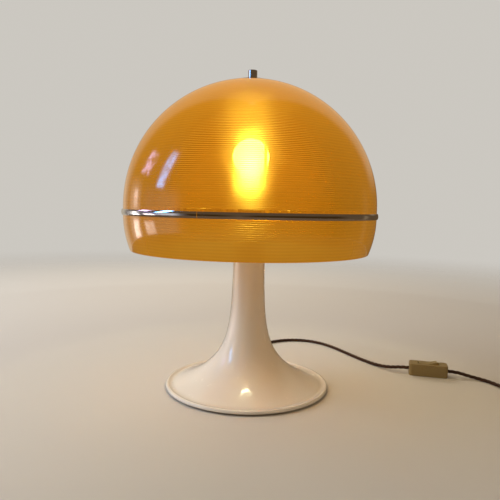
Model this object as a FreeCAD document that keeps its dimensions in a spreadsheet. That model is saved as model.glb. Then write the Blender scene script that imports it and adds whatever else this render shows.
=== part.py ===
import FreeCAD, Part
import math
import os

import Sketcher

# Mushroom table lamp. The origin is on the table in the middle of the foot, +Z is up, -Y is the front
# and the cord leaves at the back (+Y) and runs round to the right (+X). Lengths in millimetres.

os.makedirs("parts", exist_ok=True)
Vector = FreeCAD.Vector
doc = FreeCAD.newDocument("MushroomLamp")
pieces = {}

driving = {
    # foot and stem
    "felt_thickness": (2.0, "dark felt under the foot"),
    "felt_inset": (6.5, "felt edge inside the plate edge"),
    "plate_thickness": (1.5, "steel plate under the ballast"),
    "plate_gap": (0.3, "plate edge to the inside of the rim"),
    "neck_radius": (26.0, "radius that the stem tends to"),
    "dish_radius": (124.0, "radius of the flare where the saucer rim begins"),
    "dish_height": (7.0, "height of the flare where the saucer rim begins"),
    "flare_length": (36.3, "height over which the flare shrinks by a factor e"),
    "neck_top": (276.0, "top edge of the stem"),
    "shell_wall": (1.8, "sheet of the foot shell"),
    "saucer_radius": (10.0, "hollow turn of the dish before the lip"),
    "saucer_rise": (30.0, "angle at which the dish rises to the lip"),
    "lip_radius": (3.35, "rolled lip of the rim"),
    "lip_bottom": (3.0, "lower edge of the lip"),
    "ballast_height": (12.0, "thickness of the cast weight"),
    "ballast_gap": (0.3, "weight to the inside of the flare"),
    "recess_depth": (6.0, "recess under the weight for the nut"),
    "recess_radius": (12.0, "radius of that recess"),
    "plate_screw_circle": (60.0, "radius of the plate screws' circle"),
    "plate_screw_radius": (2.0, "shank of a plate screw"),
    "plate_screw_head": (4.0, "head of a plate screw"),
    "plate_screw_length": (9.0, "shank length in the weight"),
    "plate_screw_gap": (0.1, "screw to the plate"),
    "plate_screw_start": (90.0, "angle of the first plate screw"),
    "ballast_bevel": (2.5, "upper edge of the weight"),
    "ballast_hole_gap": (0.05, "screw to its hole in the weight"),
    "ballast_hole_spare": (1.0, "hole past the end of the screw"),
    "tube_radius": (5.0, "threaded lamp tube"),
    "tube_bore": (4.0, "bore of the tube"),
    "tube_bottom": (5.0, "lower end of the tube"),
    "tube_stand_out": (16.0, "tube above the stem's top edge"),
    "tube_slot_bottom": (20.0, "slot for the flex"),
    "tube_slot_top": (50.0, "slot for the flex"),
    "tube_hole_gap": (0.1, "radial gap of a hole round the tube"),
    "nut_flats": (14.0, "nut across flats"),
    "nut_height": (4.0, "nut height"),
    "cap_thickness": (2.0, "disc on the stem"),
    "cap_spigot_depth": (4.0, "rim of the disc inside the stem"),
    "cap_spigot_gap": (0.2, "that rim to the stem"),
    "cap_edge": (0.8, "rounding of the disc"),
    # cord and its outlet
    "cord_diameter": (6.5, "flex"),
    "outlet_height": (24.0, "height of the cord outlet"),
    "outlet_barrel_radius": (4.6, "bush through the wall"),
    "outlet_hole_gap": (0.1, "bush to its hole"),
    "outlet_flange_radius": (8.0, "collar on the wall"),
    "outlet_flange_thickness": (2.0, "collar on the wall"),
    "outlet_inner_reach": (10.0, "bush inside the wall"),
    "outlet_tail_length": (26.0, "tapered tail outside the wall"),
    "outlet_tail_root": (4.5, "tail radius at the collar"),
    "outlet_tail_tip": (3.75, "tail radius at its end"),
    "outlet_collar_gap": (0.05, "collar to the wall"),
    "outlet_collar_sunk": (6.0, "collar before it is cut to the wall"),
    "outlet_shoulder": (3.0, "bush outside the wall"),
    "cord_hole_gap": (0.15, "radial gap of a hole round the flex"),
    "flex_bend": (20.0, "bend of the flex into the tube"),
    "flex_end_gap": (0.3, "end of the flex under the insert"),
    # shade
    "shade_radius": (205.0, "outer radius of the dome"),
    "shade_centre": (301.0, "height of the dome's equator"),
    "shade_wall": (3.0, "moulded wall"),
    "shade_joint": (292.5, "height of the joint between dome and skirt"),
    "skirt_turn": (288.0, "height where the skirt starts to draw in"),
    "skirt_draw_in": (10.7, "how far the mouth is drawn in"),
    "skirt_bottom": (231.5, "height of the mouth"),
    "skirt_edge": (1.2, "rounding of the mouth's edge"),
    "lap_height": (8.0, "skirt flange inside the dome"),
    "lap_thickness": (2.0, "that flange"),
    "lap_gap": (0.1, "that flange to the dome"),
    "band_height": (9.0, "polished band"),
    "band_gap": (0.1, "band to the shade"),
    "band_edge": (1.2, "band thickness at its edges"),
    "band_crown": (1.2, "extra thickness in the middle"),
    "band_sweep_angle": (359.8, "band round the shade, open at its seam"),
    "band_seam_angle": (-109.0, "place of the seam"),
    "top_hole": (3.3, "holes at the top of the shade"),
    "washer_radius": (12.0, "soft washer"),
    "washer_thickness": (1.4, "soft washer"),
    "washer_gap": (0.05, "washer to the dome"),
    "cover_radius": (32.5, "polished disc under the knob"),
    "cover_thickness": (1.0, "that disc"),
    "cover_gap": (0.1, "disc to dome and knob to disc"),
    "knob_radius": (7.5, "knob"),
    "knob_height": (15.8, "knob"),
    "knob_edge": (0.8, "rounding of the knob's top"),
    "knob_bore_depth": (12.5, "threaded bore of the knob"),
    # shade carrier
    "stud_radius": (3.0, "swivel stud"),
    "stud_fit": (0.05, "radial running gap round the stud"),
    "stud_flange_radius": (9.0, "flange under the washer"),
    "stud_flange_thickness": (1.5, "flange under the washer"),
    "stud_head_radius": (4.5, "head under the eye"),
    "stud_head_height": (2.0, "head under the eye"),
    "stud_length": (17.4, "stud above its flange"),
    "eye_radius": (9.0, "eye in the middle of the bow"),
    "eye_thickness": (5.0, "eye in the middle of the bow"),
    "eye_gap": (0.1, "end gap of the stud in the eye"),
    "wire_radius": (2.25, "wire of the bow"),
    "harp_foot": (29.0, "half the distance between the pegs"),
    "harp_half_width": (42.0, "half the width of the bow"),
    "harp_shoulder": (22.0, "straight wire above the pegs"),
    "harp_spread_height": (27.0, "height of the outward S bend"),
    "harp_corner": (33.0, "upper corners of the bow"),
    "harp_angle": (-57.0, "turn of the bow about the stem"),
    "saddle_width": (12.0, "strip under the lampholder"),
    "saddle_thickness": (1.5, "that strip"),
    "peg_height": (7.5, "peg above the strip"),
    "sleeve_radius": (4.25, "locking sleeve"),
    "sleeve_fit": (0.05, "sleeve to the wire"),
    "sleeve_height": (12.0, "locking sleeve"),
    "sleeve_seat": (1.5, "sleeve above the strip"),
    # lampholder and bulb
    "holder_radius": (20.5, "lampholder"),
    "holder_wall": (2.0, "cap of the lampholder"),
    "holder_cap_height": (12.5, "cap of the lampholder"),
    "holder_cap_floor": (3.0, "cap of the lampholder"),
    "holder_shell_wall": (1.5, "sleeve of the lampholder"),
    "holder_shell_height": (40.0, "sleeve of the lampholder"),
    "holder_mouth": (15.5, "inner radius of its mouth"),
    "holder_lip": (2.0, "thickness of its mouth"),
    "holder_bend": (3.0, "lower edge of the cap"),
    "holder_edge": (1.0, "upper edge of the sleeve"),
    "insert_height": (7.0, "ceramic insert"),
    "insert_gap": (0.1, "insert to the sleeve"),
    "screw_shell_wall": (0.6, "threaded contact"),
    "screw_shell_height": (27.0, "threaded contact"),
    "screw_shell_fit": (0.08, "lamp cap in the threaded contact"),
    "ring_radius": (25.0, "threaded ring"),
    "ring_height": (6.0, "threaded ring"),
    "ring_rise": (16.0, "ring above the cap"),
    "ring_gap": (0.05, "ring to the sleeve"),
    "terminal_spacing": (13.0, "terminal screws from the axis"),
    "holder_screw_radius": (1.5, "terminal screw"),
    "holder_screw_length": (4.5, "terminal screw"),
    "holder_screw_head": (2.6, "terminal screw"),
    "holder_screw_head_height": (2.0, "terminal screw"),
    "holder_screw_gap": (0.05, "terminal screw to its hole"),
    "holder_screw_spare": (0.5, "hole past the end of the screw"),
    "contact_height": (3.7, "centre contact above the insert"),
    "contact_gap": (0.3, "lamp's tip above the centre contact"),
    "leaf_thickness": (0.5, "centre contact leaf"),
    "leaf_width": (5.0, "centre contact leaf"),
    "leaf_root": (9.0, "centre contact from the axis"),
    "leaf_knee": (4.0, "where the leaf leaves the insert"),
    "leaf_slope": (3.0, "length of its slope, seen from above"),
    "leaf_tip": (4.0, "end of the leaf past the axis"),
    "lamp_cap_radius": (13.25, "E27 lamp cap"),
    "lamp_cap_length": (25.0, "E27 lamp cap"),
    "lamp_cap_wall": (0.4, "E27 lamp cap"),
    "lamp_cap_shoulder": (2.5, "height of its lower cone"),
    "lamp_cap_draw_in": (3.75, "how far that cone is drawn in"),
    "lamp_cap_seat": (0.5, "cap on its insulator"),
    "lamp_cap_inner_rise": (0.2, "inner cone above the outer one"),
    "insulator_top": (4.0, "lower radius of the insulator"),
    "lamp_tip_height": (0.8, "solder tip"),
    "lamp_tip_radius": (3.2, "solder tip"),
    "lamp_tip_face": (2.5, "solder tip"),
    "insulator_height": (1.2, "insulator below the cap"),
    "mount_gap": (0.2, "glass foot to the cap"),
    "mount_flange": (1.0, "glass foot"),
    "mount_shoulder": (5.0, "glass foot"),
    "mount_root": (4.5, "glass foot"),
    "mount_radius": (4.0, "glass stalk"),
    "mount_height": (27.0, "glass stalk"),
    "filament_radius": (0.4, "filament and its wires"),
    "lamp_neck": (14.0, "neck of the glass"),
    "lamp_neck_length": (7.0, "straight neck of the glass"),
    "lamp_radius": (30.0, "ball of the glass"),
    "lamp_ball_height": (51.0, "ball's centre above the lamp cap"),
    "glass_wall": (1.0, "glass"),
    # switch on the cord
    "switch_x": (336.7, "middle of the switch"),
    "switch_y": (71.4, "middle of the switch"),
    "switch_turn": (-14.15, "direction of the switch"),
    "switch_length": (68.0, "case"),
    "switch_width": (28.0, "case"),
    "switch_height": (22.0, "case"),
    "switch_wall": (2.0, "case"),
    "switch_corner": (6.0, "corners of the case in plan"),
    "switch_edge": (1.6, "upper edge of the case"),
    "switch_cord_height": (10.5, "cord and joint of the two halves"),
    "rocker_length": (31.6, "top of the rocker"),
    "rocker_width": (14.0, "rocker"),
    "rocker_gap": (0.4, "rocker to the sides of its window"),
    "rocker_end_gap": (1.4, "rocker to the ends of its window"),
    "rocker_pivot": (15.0, "height of the pivot"),
    "rocker_dip": (7.0, "half the rocker's travel, and slope of each half"),
    "rocker_rise": (7.3, "middle of the rocker above its pivot"),
    "rocker_belly": (2.5, "rocker below its pivot"),
    "rocker_shoulder": (1.4, "rocker at its pivot past its top edge"),
    "rocker_tuck": (1.2, "rocker drawn in below its pivot"),
    "pin_radius": (1.25, "pivot pin"),
    "pin_fit": (0.05, "pivot pin in its holes"),
    "boss_thickness": (2.0, "ears that hold the pin"),
    "boss_gap": (1.5, "ears to the rocker"),
    "boss_length": (7.0, "ears that hold the pin"),
    "bridge_length": (22.0, "contact strip under the rocker"),
    "bridge_width": (4.0, "contact strip under the rocker"),
    "bridge_thickness": (0.8, "contact strip under the rocker"),
    "post_radius": (2.0, "contact posts"),
    "post_spacing": (9.5, "contact posts from the middle"),
    "terminal_length": (7.0, "terminal block"),
    "terminal_width": (5.0, "terminal block"),
    "terminal_height": (5.0, "terminal block"),
    "terminal_place": (19.0, "terminals from the middle"),
    "terminal_side": (7.5, "terminals from the middle"),
    "terminal_hole_depth": (2.5, "screw hole in a terminal"),
    "terminal_hole_radius": (1.3, "screw hole in a terminal"),
    "terminal_screw_radius": (1.25, "terminal screw"),
    "terminal_screw_head": (2.0, "terminal screw"),
    "terminal_screw_head_height": (1.2, "terminal screw"),
    "case_screw_radius": (1.25, "case screws"),
    "case_screw_head": (2.5, "case screws"),
    "case_screw_place": (26.0, "case screws from the middle"),
    "case_screw_side": (9.0, "case screws from the middle"),
    "case_screw_length": (13.0, "case screws"),
    "case_screw_gap": (0.1, "case screw to its hole"),
    "case_head_gap": (0.2, "its head to the recess"),
    "case_head_height": (1.5, "its head"),
    "case_head_rise": (0.4, "its head above the table side"),
    "case_boss_radius": (3.0, "posts for the case screws"),
    "case_boss_height": (2.0, "lower posts"),
    "case_post_gap": (0.3, "upper posts above the joint"),
    "case_post_bite": (0.05, "case screw in the upper post"),
    "case_bottom_edge": (1.0, "lower edge of the case"),
    "contact_play": (0.08, "contact post under the strip"),
    "cord_clamp_length": (3.0, "bar over the cord in the switch"),
    "cord_clamp_width": (12.0, "bar over the cord in the switch"),
    "cord_clamp_thickness": (1.2, "bar over the cord in the switch"),
    "cord_clamp_gap": (0.1, "bar over the cord in the switch"),
    "cord_clamp_inset": (2.5, "bar from the end wall"),
    # coil and tie
    "coil_x": (490.0, "middle of the coil"),
    "coil_y": (-38.0, "middle of the coil"),
    "coil_radius": (44.0, "outermost turn"),
    "coil_pitch": (7.1, "from turn to turn and from layer to layer"),
    "coil_height": (4.45, "height of the lower layer"),
    "tie_width": (5.0, "tie round the coil"),
    "tie_thickness": (0.8, "tie round the coil"),
    "tie_gap": (0.3, "tie to the cord"),
    "tie_corner": (2.8, "inner corners of the tie"),
    "tie_table_gap": (0.2, "tie under the cord"),
    "tie_angle": (-60.0, "place of the tie"),
    # plug
    "plug_x": (536.0, "middle of the plug"),
    "plug_y": (33.0, "middle of the plug"),
    "plug_width": (50.0, "plug across"),
    "plug_length": (50.0, "plug along its cord"),
    "plug_height": (22.0, "plug, pins left out"),
    "plug_joint": (11.0, "joint of cover and base, and height of the cord"),
    "plug_corner": (9.0, "corners of the plug in plan"),
    "plug_edge": (2.5, "rounding of the cover"),
    "plug_wall": (2.5, "plug"),
    "pin_spacing": (22.2, "live to neutral, and earth to their line"),
    "pin_line": (-6.5, "live and neutral from the middle of the plug"),
    "pin_thickness": (4.0, "pins"),
    "live_pin_width": (6.35, "live and neutral pins"),
    "live_pin_length": (17.7, "live and neutral pins"),
    "earth_pin_width": (8.0, "earth pin"),
    "earth_pin_length": (22.7, "earth pin"),
    "pin_root": (5.0, "pins inside the base"),
    "fuse_radius": (3.15, "fuse"),
    "fuse_length": (25.4, "fuse"),
    "clamp_thickness": (1.2, "strap over the cord inside the plug"),
    "clamp_screw_place": (7.5, "its screws from the middle"),
    "clamp_place": (4.0, "strap from the wall where the cord comes in"),
    "clamp_gap": (0.1, "strap to the cord"),
    "clamp_width": (22.0, "strap"),
    "clamp_depth": (5.0, "strap"),
    "clamp_hole": (1.4, "hole in the strap"),
    "clamp_screw_radius": (1.25, "its screw"),
    "clamp_screw_head": (2.4, "its screw"),
    "clamp_screw_head_height": (1.5, "its screw"),
    "clamp_screw_bite": (5.0, "its screw in the post"),
    "clamp_post_radius": (2.6, "post for its screw"),
    "clamp_post_hole": (1.3, "post for its screw"),
    "pin_slot_gap": (0.05, "pin to its slot"),
    "pin_slot_spare": (1.0, "floor of the base past the pin's root"),
    "pin_tip": (1.2, "rounding of the pin ends"),
    "plug_face_edge": (1.0, "rounding of the pin face"),
    "fuse_side": (13.0, "fuse from the middle"),
    "fuse_shift": (2.0, "fuse towards the earth pin"),
    "fuse_rise": (0.3, "fuse above the cover's wall"),
    "cover_screw_place": (3.0, "cover screw from the middle"),
    "cover_screw_radius": (1.5, "cover screw"),
    "cover_screw_head": (3.0, "cover screw"),
    "cover_screw_head_height": (1.8, "cover screw"),
    "cover_screw_end": (5.0, "height of its lower end"),
    "cover_screw_gap": (0.1, "cover screw to its holes"),
    "cover_screw_rise": (0.2, "its head below the pin face"),
    "cover_boss_radius": (3.4, "post for the cover screw"),
}

sheet = doc.addObject("Spreadsheet::Sheet", "Sizes")
for row, (word, (number, note)) in enumerate(driving.items(), 1):
    sheet.set(f"A{row}", note)
    sheet.set(f"B{row}", str(number))
    sheet.setAlias(f"B{row}", word)
doc.recompute()


class Size:
    # a number together with the sheet expression that gives it
    def __init__(self, number, text):
        self.number = number
        self.text = text

    def __add__(self, other):
        other = as_size(other)
        return Size(self.number + other.number, f"({self.text} + {other.text})")

    def __sub__(self, other):
        other = as_size(other)
        return Size(self.number - other.number, f"({self.text} - {other.text})")

    def __mul__(self, other):
        other = as_size(other)
        return Size(self.number * other.number, f"({self.text} * {other.text})")

    def __truediv__(self, other):
        other = as_size(other)
        return Size(self.number / other.number, f"({self.text} / {other.text})")

    def __neg__(self):
        return Size(-self.number, f"(0 - {self.text})")

    def __radd__(self, other):
        return as_size(other) + self

    def __rsub__(self, other):
        return as_size(other) - self

    def __rmul__(self, other):
        return as_size(other) * self

    def __rtruediv__(self, other):
        return as_size(other) / self


def as_size(value):
    return value if isinstance(value, Size) else Size(float(value), f"({float(value)})")


def root(value):
    return Size(math.sqrt(value.number), f"sqrt({value.text})")


def exponential(value):
    return Size(math.exp(value.number), f"exp({value.text})")


def sine(degrees):
    return Size(math.sin(math.radians(degrees.number)), f"sin({degrees.text} * 1 deg)")


def cosine(degrees):
    return Size(math.cos(math.radians(degrees.number)), f"cos({degrees.text} * 1 deg)")


class Sheet:
    # size.word is the cell with that alias
    def __getattr__(self, word):
        return Size(float(sheet.get(word)), f"Sizes.{word}")


size = Sheet()


class Bend:
    # in an outline: the next edge is an arc that turns to the left (1) or to the right (-1)
    def __init__(self, radius, side):
        self.radius = as_size(radius)
        self.side = side


# ---- sketches and bodies

def name_piece(name, item):
    item.Label = name
    pieces[name] = item
    return item


def new_sketch(body, role, name):
    sketch = body.newObject("Sketcher::SketchObject", name)
    plane = [item for item in body.Origin.OriginFeatures if item.Role == role][0]
    sketch.AttachmentSupport = [(plane, "")]
    sketch.MapMode = "FlatFace"
    return sketch


def bound_constraint(sketch, *terms):
    value = terms[-1]
    index = sketch.addConstraint(Sketcher.Constraint(*terms[:-1], value.number))
    sketch.setExpression(f"Constraints[{index}]", value.text)


def pin_point(sketch, geometry, end, x, y):
    for value, kind, axis in ((as_size(x), "DistanceX", -2), (as_size(y), "DistanceY", -1)):
        if abs(value.number) < 1e-9:
            sketch.addConstraint(Sketcher.Constraint("PointOnObject", geometry, end, axis))
        elif value.number > 0:
            bound_constraint(sketch, kind, -1, 1, geometry, end, value)
        else:
            bound_constraint(sketch, kind, geometry, end, -1, 1, -value)


def arc_between(start, end, radius, side):
    chord = end - start
    middle = (start + end) * 0.5
    across = Vector(-chord.y, chord.x, 0).normalize() * side
    centre = middle + across * math.sqrt(radius ** 2 - (chord.Length / 2) ** 2)
    angles = [math.atan2(point.y - centre.y, point.x - centre.x) for point in (start, end)]
    if side < 0:
        angles.reverse()
    return Part.ArcOfCircle(Part.Circle(centre, Vector(0, 0, 1), radius), *angles)


def draw_outline(sketch, items):
    # closed outline through corners (x, y); a Bend between two corners makes their edge an arc
    corners = [item for item in items if not isinstance(item, Bend)]
    bends = {}
    for item in items:
        if isinstance(item, Bend):
            bends[reached] = item
        else:
            reached = corners.index(item)
    points = [Vector(as_size(x).number, as_size(y).number, 0) for x, y in corners]
    first = sketch.GeometryCount
    ends = []
    for index, start in enumerate(points):
        end = points[(index + 1) % len(points)]
        if index in bends:
            bend = bends[index]
            sketch.addGeometry(arc_between(start, end, bend.radius.number, bend.side), False)
            ends.append((1, 2) if bend.side > 0 else (2, 1))
        else:
            sketch.addGeometry(Part.LineSegment(start, end), False)
            ends.append((1, 2))
    for index in range(len(points)):
        after = (index + 1) % len(points)
        joint = ("Coincident", first + index, ends[index][1], first + after, ends[after][0])
        sketch.addConstraint(Sketcher.Constraint(*joint))
    for index, (x, y) in enumerate(corners):
        pin_point(sketch, first + index, ends[index][0], x, y)
        if index in bends:
            bound_constraint(sketch, "Radius", first + index, bends[index].radius)


def draw_circle(sketch, x, y, radius):
    radius = as_size(radius)
    centre = Vector(as_size(x).number, as_size(y).number, 0)
    index = sketch.addGeometry(Part.Circle(centre, Vector(0, 0, 1), radius.number), False)
    pin_point(sketch, index, 3, x, y)
    bound_constraint(sketch, "Radius", index, radius)


def rectangle(width, depth, x=0, y=0):
    west = as_size(x) - width / 2
    south = as_size(y) - depth / 2
    return [(west, south), (west + width, south), (west + width, south + depth), (west, south + depth)]


def new_body(name):
    return name_piece(name, doc.addObject("PartDesign::Body", name))


full_turn = 360


def turned(name, items, sweep=full_turn):
    # outline in the XZ plane, turned about Z
    body = new_body(name)
    sketch = new_sketch(body, "XZ_Plane", name + "_outline")
    draw_outline(sketch, items)
    turn = body.newObject("PartDesign::Revolution", name + "_turn")
    turn.Profile = sketch
    turn.ReferenceAxis = (sketch, ["V_Axis"])
    turn.setExpression("Angle", as_size(sweep).text)
    return body


def level_sketch(body, name, height):
    sketch = new_sketch(body, "XY_Plane", name)
    sketch.setExpression("AttachmentOffset.Base.z", as_size(height).text)
    return sketch


def pad(body, sketch, length, both_ways=False):
    feature = body.newObject("PartDesign::Pad", sketch.Name + "_pad")
    feature.Profile = sketch
    feature.setExpression("Length", as_size(length).text)
    if both_ways:
        feature.SideType = "Symmetric"
    return feature


def pocket(body, sketch, depth, both_ways=False):
    # cuts against the normal of the sketch's plane: down, or to +Y from the XZ plane
    doc.recompute()
    before = body.Shape.Volume
    feature = body.newObject("PartDesign::Pocket", sketch.Name + "_pocket")
    feature.Profile = sketch
    feature.setExpression("Length", as_size(depth).text)
    if both_ways:
        feature.SideType = "Symmetric"
    doc.recompute()
    if body.Shape.Volume >= before - 1e-6:
        raise ValueError(f"{sketch.Name} cuts nothing")
    return feature


def edges_where(shape, test):
    return [f"Edge{index}" for index, edge in enumerate(shape.Edges, 1) if test(edge)]


def rounding(body, name, radius, test):
    doc.recompute()
    base = body.Tip
    feature = body.newObject("PartDesign::Fillet", name)
    feature.Base = (base, edges_where(base.Shape, test))
    feature.setExpression("Radius", as_size(radius).text)
    return feature


def lies_at(height):
    def lies_there(edge):
        low, high = edge.BoundBox.ZMin, edge.BoundBox.ZMax
        return abs(low - height.number) + abs(high - height.number) < 1e-6

    return lies_there


# ---- simple solids and their sums

def place(item, x=0, y=0, z=0):
    for axis, value in (("x", x), ("y", y), ("z", z)):
        item.setExpression(f"Placement.Base.{axis}", as_size(value).text)
    return item


def turn_about_z(item, angle):
    item.Placement = FreeCAD.Placement(Vector(), FreeCAD.Rotation(Vector(0, 0, 1), angle.number))
    item.setExpression("Placement.Rotation.Angle", angle.text)
    return item


def cylinder(radius, height, x=0, y=0, z=0):
    item = doc.addObject("Part::Cylinder", "cylinder")
    item.setExpression("Radius", as_size(radius).text)
    item.setExpression("Height", as_size(height).text)
    return place(item, x, y, z)


def cone(bottom_radius, top_radius, height, x=0, y=0, z=0):
    item = doc.addObject("Part::Cone", "cone")
    item.setExpression("Radius1", as_size(bottom_radius).text)
    item.setExpression("Radius2", as_size(top_radius).text)
    item.setExpression("Height", as_size(height).text)
    return place(item, x, y, z)


def box(length, width, height, x=0, y=0, z=0):
    # centred on x and y, standing on z
    item = doc.addObject("Part::Box", "box")
    for key, value in (("Length", length), ("Width", width), ("Height", height)):
        item.setExpression(key, as_size(value).text)
    return place(item, as_size(x) - as_size(length) / 2, as_size(y) - as_size(width) / 2, z)


def lay_along(item, direction):
    # turns an upright solid at its base point so that its axis points that way
    item.Placement = FreeCAD.Placement(Vector(), FreeCAD.Rotation(Vector(0, 0, 1), direction))
    return item


def together(*items):
    if len(items) == 1:
        return items[0]
    group = doc.addObject("Part::MultiFuse", "together")
    group.Shapes = list(items)
    return group


def less(base, *tools):
    cut = doc.addObject("Part::Cut", "less")
    cut.Base = base
    cut.Tool = together(*tools)
    return cut



# ---- foot and stem

def flare_radius(height):
    # outside of the stem and its flare
    fall = exponential((size.dish_height - height) / size.flare_length)
    return size.neck_radius + (size.dish_radius - size.neck_radius) * fall


def flare_slope(height):
    return (size.neck_radius - flare_radius(height)) / size.flare_length


def flare_points(inset):
    # points on the flare, set in by the given thickness, denser near the dish
    count = 13
    bottom = size.dish_height.number
    rise = size.neck_top.number - bottom
    points = []
    for step in range(count):
        height = bottom + rise * (step / (count - 1)) ** 1.7
        slope = flare_slope(height).number
        length = math.hypot(1, slope)
        radius = flare_radius(height).number
        points.append(Vector(radius - inset / length, height + inset * slope / length, 0))
    return points


def flare_curve(inset):
    points = flare_points(inset)
    curve = Part.BSplineCurve()
    leave = Vector(flare_slope(size.dish_height).number, 1, 0).normalize()
    arrive = Vector(flare_slope(size.neck_top).number, 1, 0).normalize()
    curve.interpolate(Points=points, InitialTangent=leave, FinalTangent=arrive)
    return curve, points[0], points[-1]


def heading(angle):
    return Vector(math.cos(angle), math.sin(angle), 0)


def to_left(direction):
    return Vector(-direction.y, direction.x, 0)


wall = size.shell_wall.number
dish_heading = -math.atan2(1, -flare_slope(size.dish_height).number)
rise_heading = math.radians(size.saucer_rise.number)
dish_corner = Vector(size.dish_radius.number, size.dish_height.number, 0)
saucer_centre = dish_corner + to_left(heading(dish_heading)) * size.saucer_radius.number
lip_corner = saucer_centre - to_left(heading(rise_heading)) * size.saucer_radius.number
lip_centre = lip_corner - to_left(heading(rise_heading)) * size.lip_radius.number
rim_radius = lip_centre.x + size.lip_radius.number


def arc_through(centre, radius, start_angle, end_angle):
    return Part.ArcOfCircle(Part.Circle(centre, Vector(0, 0, 1), radius), start_angle, end_angle)


def foot_outline():
    # lip, saucer and flare outside, then the same curves one wall further in
    outer, outer_foot, outer_top = flare_curve(0)
    inner, inner_foot, inner_top = flare_curve(wall)
    quarter = math.pi / 2
    hem = wall / 2
    hem_centre = Vector(rim_radius - hem, size.lip_bottom.number + hem, 0)
    outer_side = Vector(rim_radius, lip_centre.y, 0)
    inner_side = Vector(rim_radius - wall, lip_centre.y, 0)
    dish_angle = dish_heading - quarter
    rise_angle = rise_heading - quarter
    return [
        outer,
        Part.LineSegment(outer_top, inner_top),
        inner,
        arc_through(saucer_centre, size.saucer_radius.number + wall, dish_angle, rise_angle),
        arc_through(lip_centre, size.lip_radius.number - wall, 0, rise_angle + math.pi),
        Part.LineSegment(inner_side, Vector(inner_side.x, hem_centre.y, 0)),
        arc_through(hem_centre, hem, math.pi, 3 * quarter),
        arc_through(hem_centre, hem, 3 * quarter, 4 * quarter),
        Part.LineSegment(Vector(outer_side.x, hem_centre.y, 0), outer_side),
        arc_through(lip_centre, size.lip_radius.number, 0, rise_angle + math.pi),
        arc_through(saucer_centre, size.saucer_radius.number, dish_angle, rise_angle),
    ]


def turn_curves(body, name, curves):
    sketch = new_sketch(body, "XZ_Plane", name + "_outline")
    sketch.addGeometry(curves, False)
    sketch.addConstraint([Sketcher.Constraint("Block", index) for index in range(len(curves))])
    turn = body.newObject("PartDesign::Revolution", name + "_turn")
    turn.Profile = sketch
    turn.ReferenceAxis = (sketch, ["V_Axis"])
    turn.Angle = full_turn


def make_foot():
    body = new_body("foot_trumpet")
    turn_curves(body, "foot_trumpet", foot_outline())
    hole = new_sketch(body, "XZ_Plane", "foot_outlet_hole")
    draw_circle(hole, 0, size.outlet_height, size.outlet_barrel_radius + size.outlet_hole_gap)
    pocket(body, hole, size.dish_radius)


plate_bottom = size.felt_thickness
ballast_bottom = plate_bottom + size.plate_thickness
ballast_top = ballast_bottom + size.ballast_height
plate_radius = as_size(rim_radius - wall) - size.plate_gap
nut_top = ballast_bottom + size.recess_depth
tube_top = size.neck_top + size.tube_stand_out
tube_hole = size.tube_radius + size.tube_hole_gap


def make_felt():
    name_piece("felt_pad", cylinder(plate_radius - size.felt_inset, size.felt_thickness))


plate_screw_count = 3


def plate_screw_places():
    # where the plate screws are, x and y, round the circle
    places = []
    for index in range(plate_screw_count):
        angle = size.plate_screw_start + index * full_turn / plate_screw_count
        places.append((size.plate_screw_circle * cosine(angle), size.plate_screw_circle * sine(angle)))
    return places


def make_base_plate():
    clear = size.plate_screw_gap
    holes = []
    screws = []
    for x, y in plate_screw_places():
        wide = size.plate_screw_head + clear
        narrow = size.plate_screw_radius + clear
        holes.append(cone(wide, narrow, size.plate_thickness, x, y, plate_bottom))
        head = cone(size.plate_screw_head, size.plate_screw_radius, size.plate_thickness, x, y, plate_bottom)
        shank = cylinder(size.plate_screw_radius, size.plate_screw_length, x, y, ballast_bottom)
        screws.append(together(head, shank))
    name_piece("base_plate", less(cylinder(plate_radius, size.plate_thickness, z=plate_bottom), *holes))
    name_piece("base_plate_screws", together(*screws))


def make_ballast():
    slope = flare_slope(ballast_top)
    inset = (size.shell_wall + size.ballast_gap) * root(1 + slope * slope)
    radius = flare_radius(ballast_top) - inset
    bevel = size.ballast_bevel
    outline = [
        (tube_hole, nut_top),
        (size.recess_radius, nut_top),
        (size.recess_radius, ballast_bottom),
        (radius, ballast_bottom),
        (radius, ballast_top - bevel),
        (radius - bevel, ballast_top),
        (tube_hole, ballast_top),
    ]
    body = turned("ballast", outline)
    holes = level_sketch(body, "ballast_screw_holes", ballast_bottom)
    for x, y in plate_screw_places():
        draw_circle(holes, x, y, size.plate_screw_radius + size.ballast_hole_gap)
    pocket(body, holes, 2 * (size.plate_screw_length + size.ballast_hole_spare), both_ways=True)


def make_tube():
    outline = [
        (size.tube_bore, size.tube_bottom),
        (size.tube_radius, size.tube_bottom),
        (size.tube_radius, tube_top),
        (size.tube_bore, tube_top),
    ]
    body = turned("centre_tube", outline)
    slot = new_sketch(body, "XZ_Plane", "tube_slot")
    middle = (size.tube_slot_bottom + size.tube_slot_top) / 2
    draw_outline(slot, rectangle(2 * size.tube_bore, size.tube_slot_top - size.tube_slot_bottom, 0, middle))
    pocket(body, slot, 2 * size.tube_radius)


def make_nut(name, bottom):
    body = new_body(name)
    sketch = level_sketch(body, name + "_hexagon", bottom)
    corner = size.nut_flats / 2 / math.cos(math.pi / 6)
    half = corner / 2
    flat = size.nut_flats / 2
    corners = [(corner, 0), (half, flat), (-half, flat), (-corner, 0), (-half, -flat), (half, -flat)]
    draw_outline(sketch, corners)
    draw_circle(sketch, 0, 0, size.tube_radius + size.tube_hole_gap / 2)
    pad(body, sketch, size.nut_height)


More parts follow.
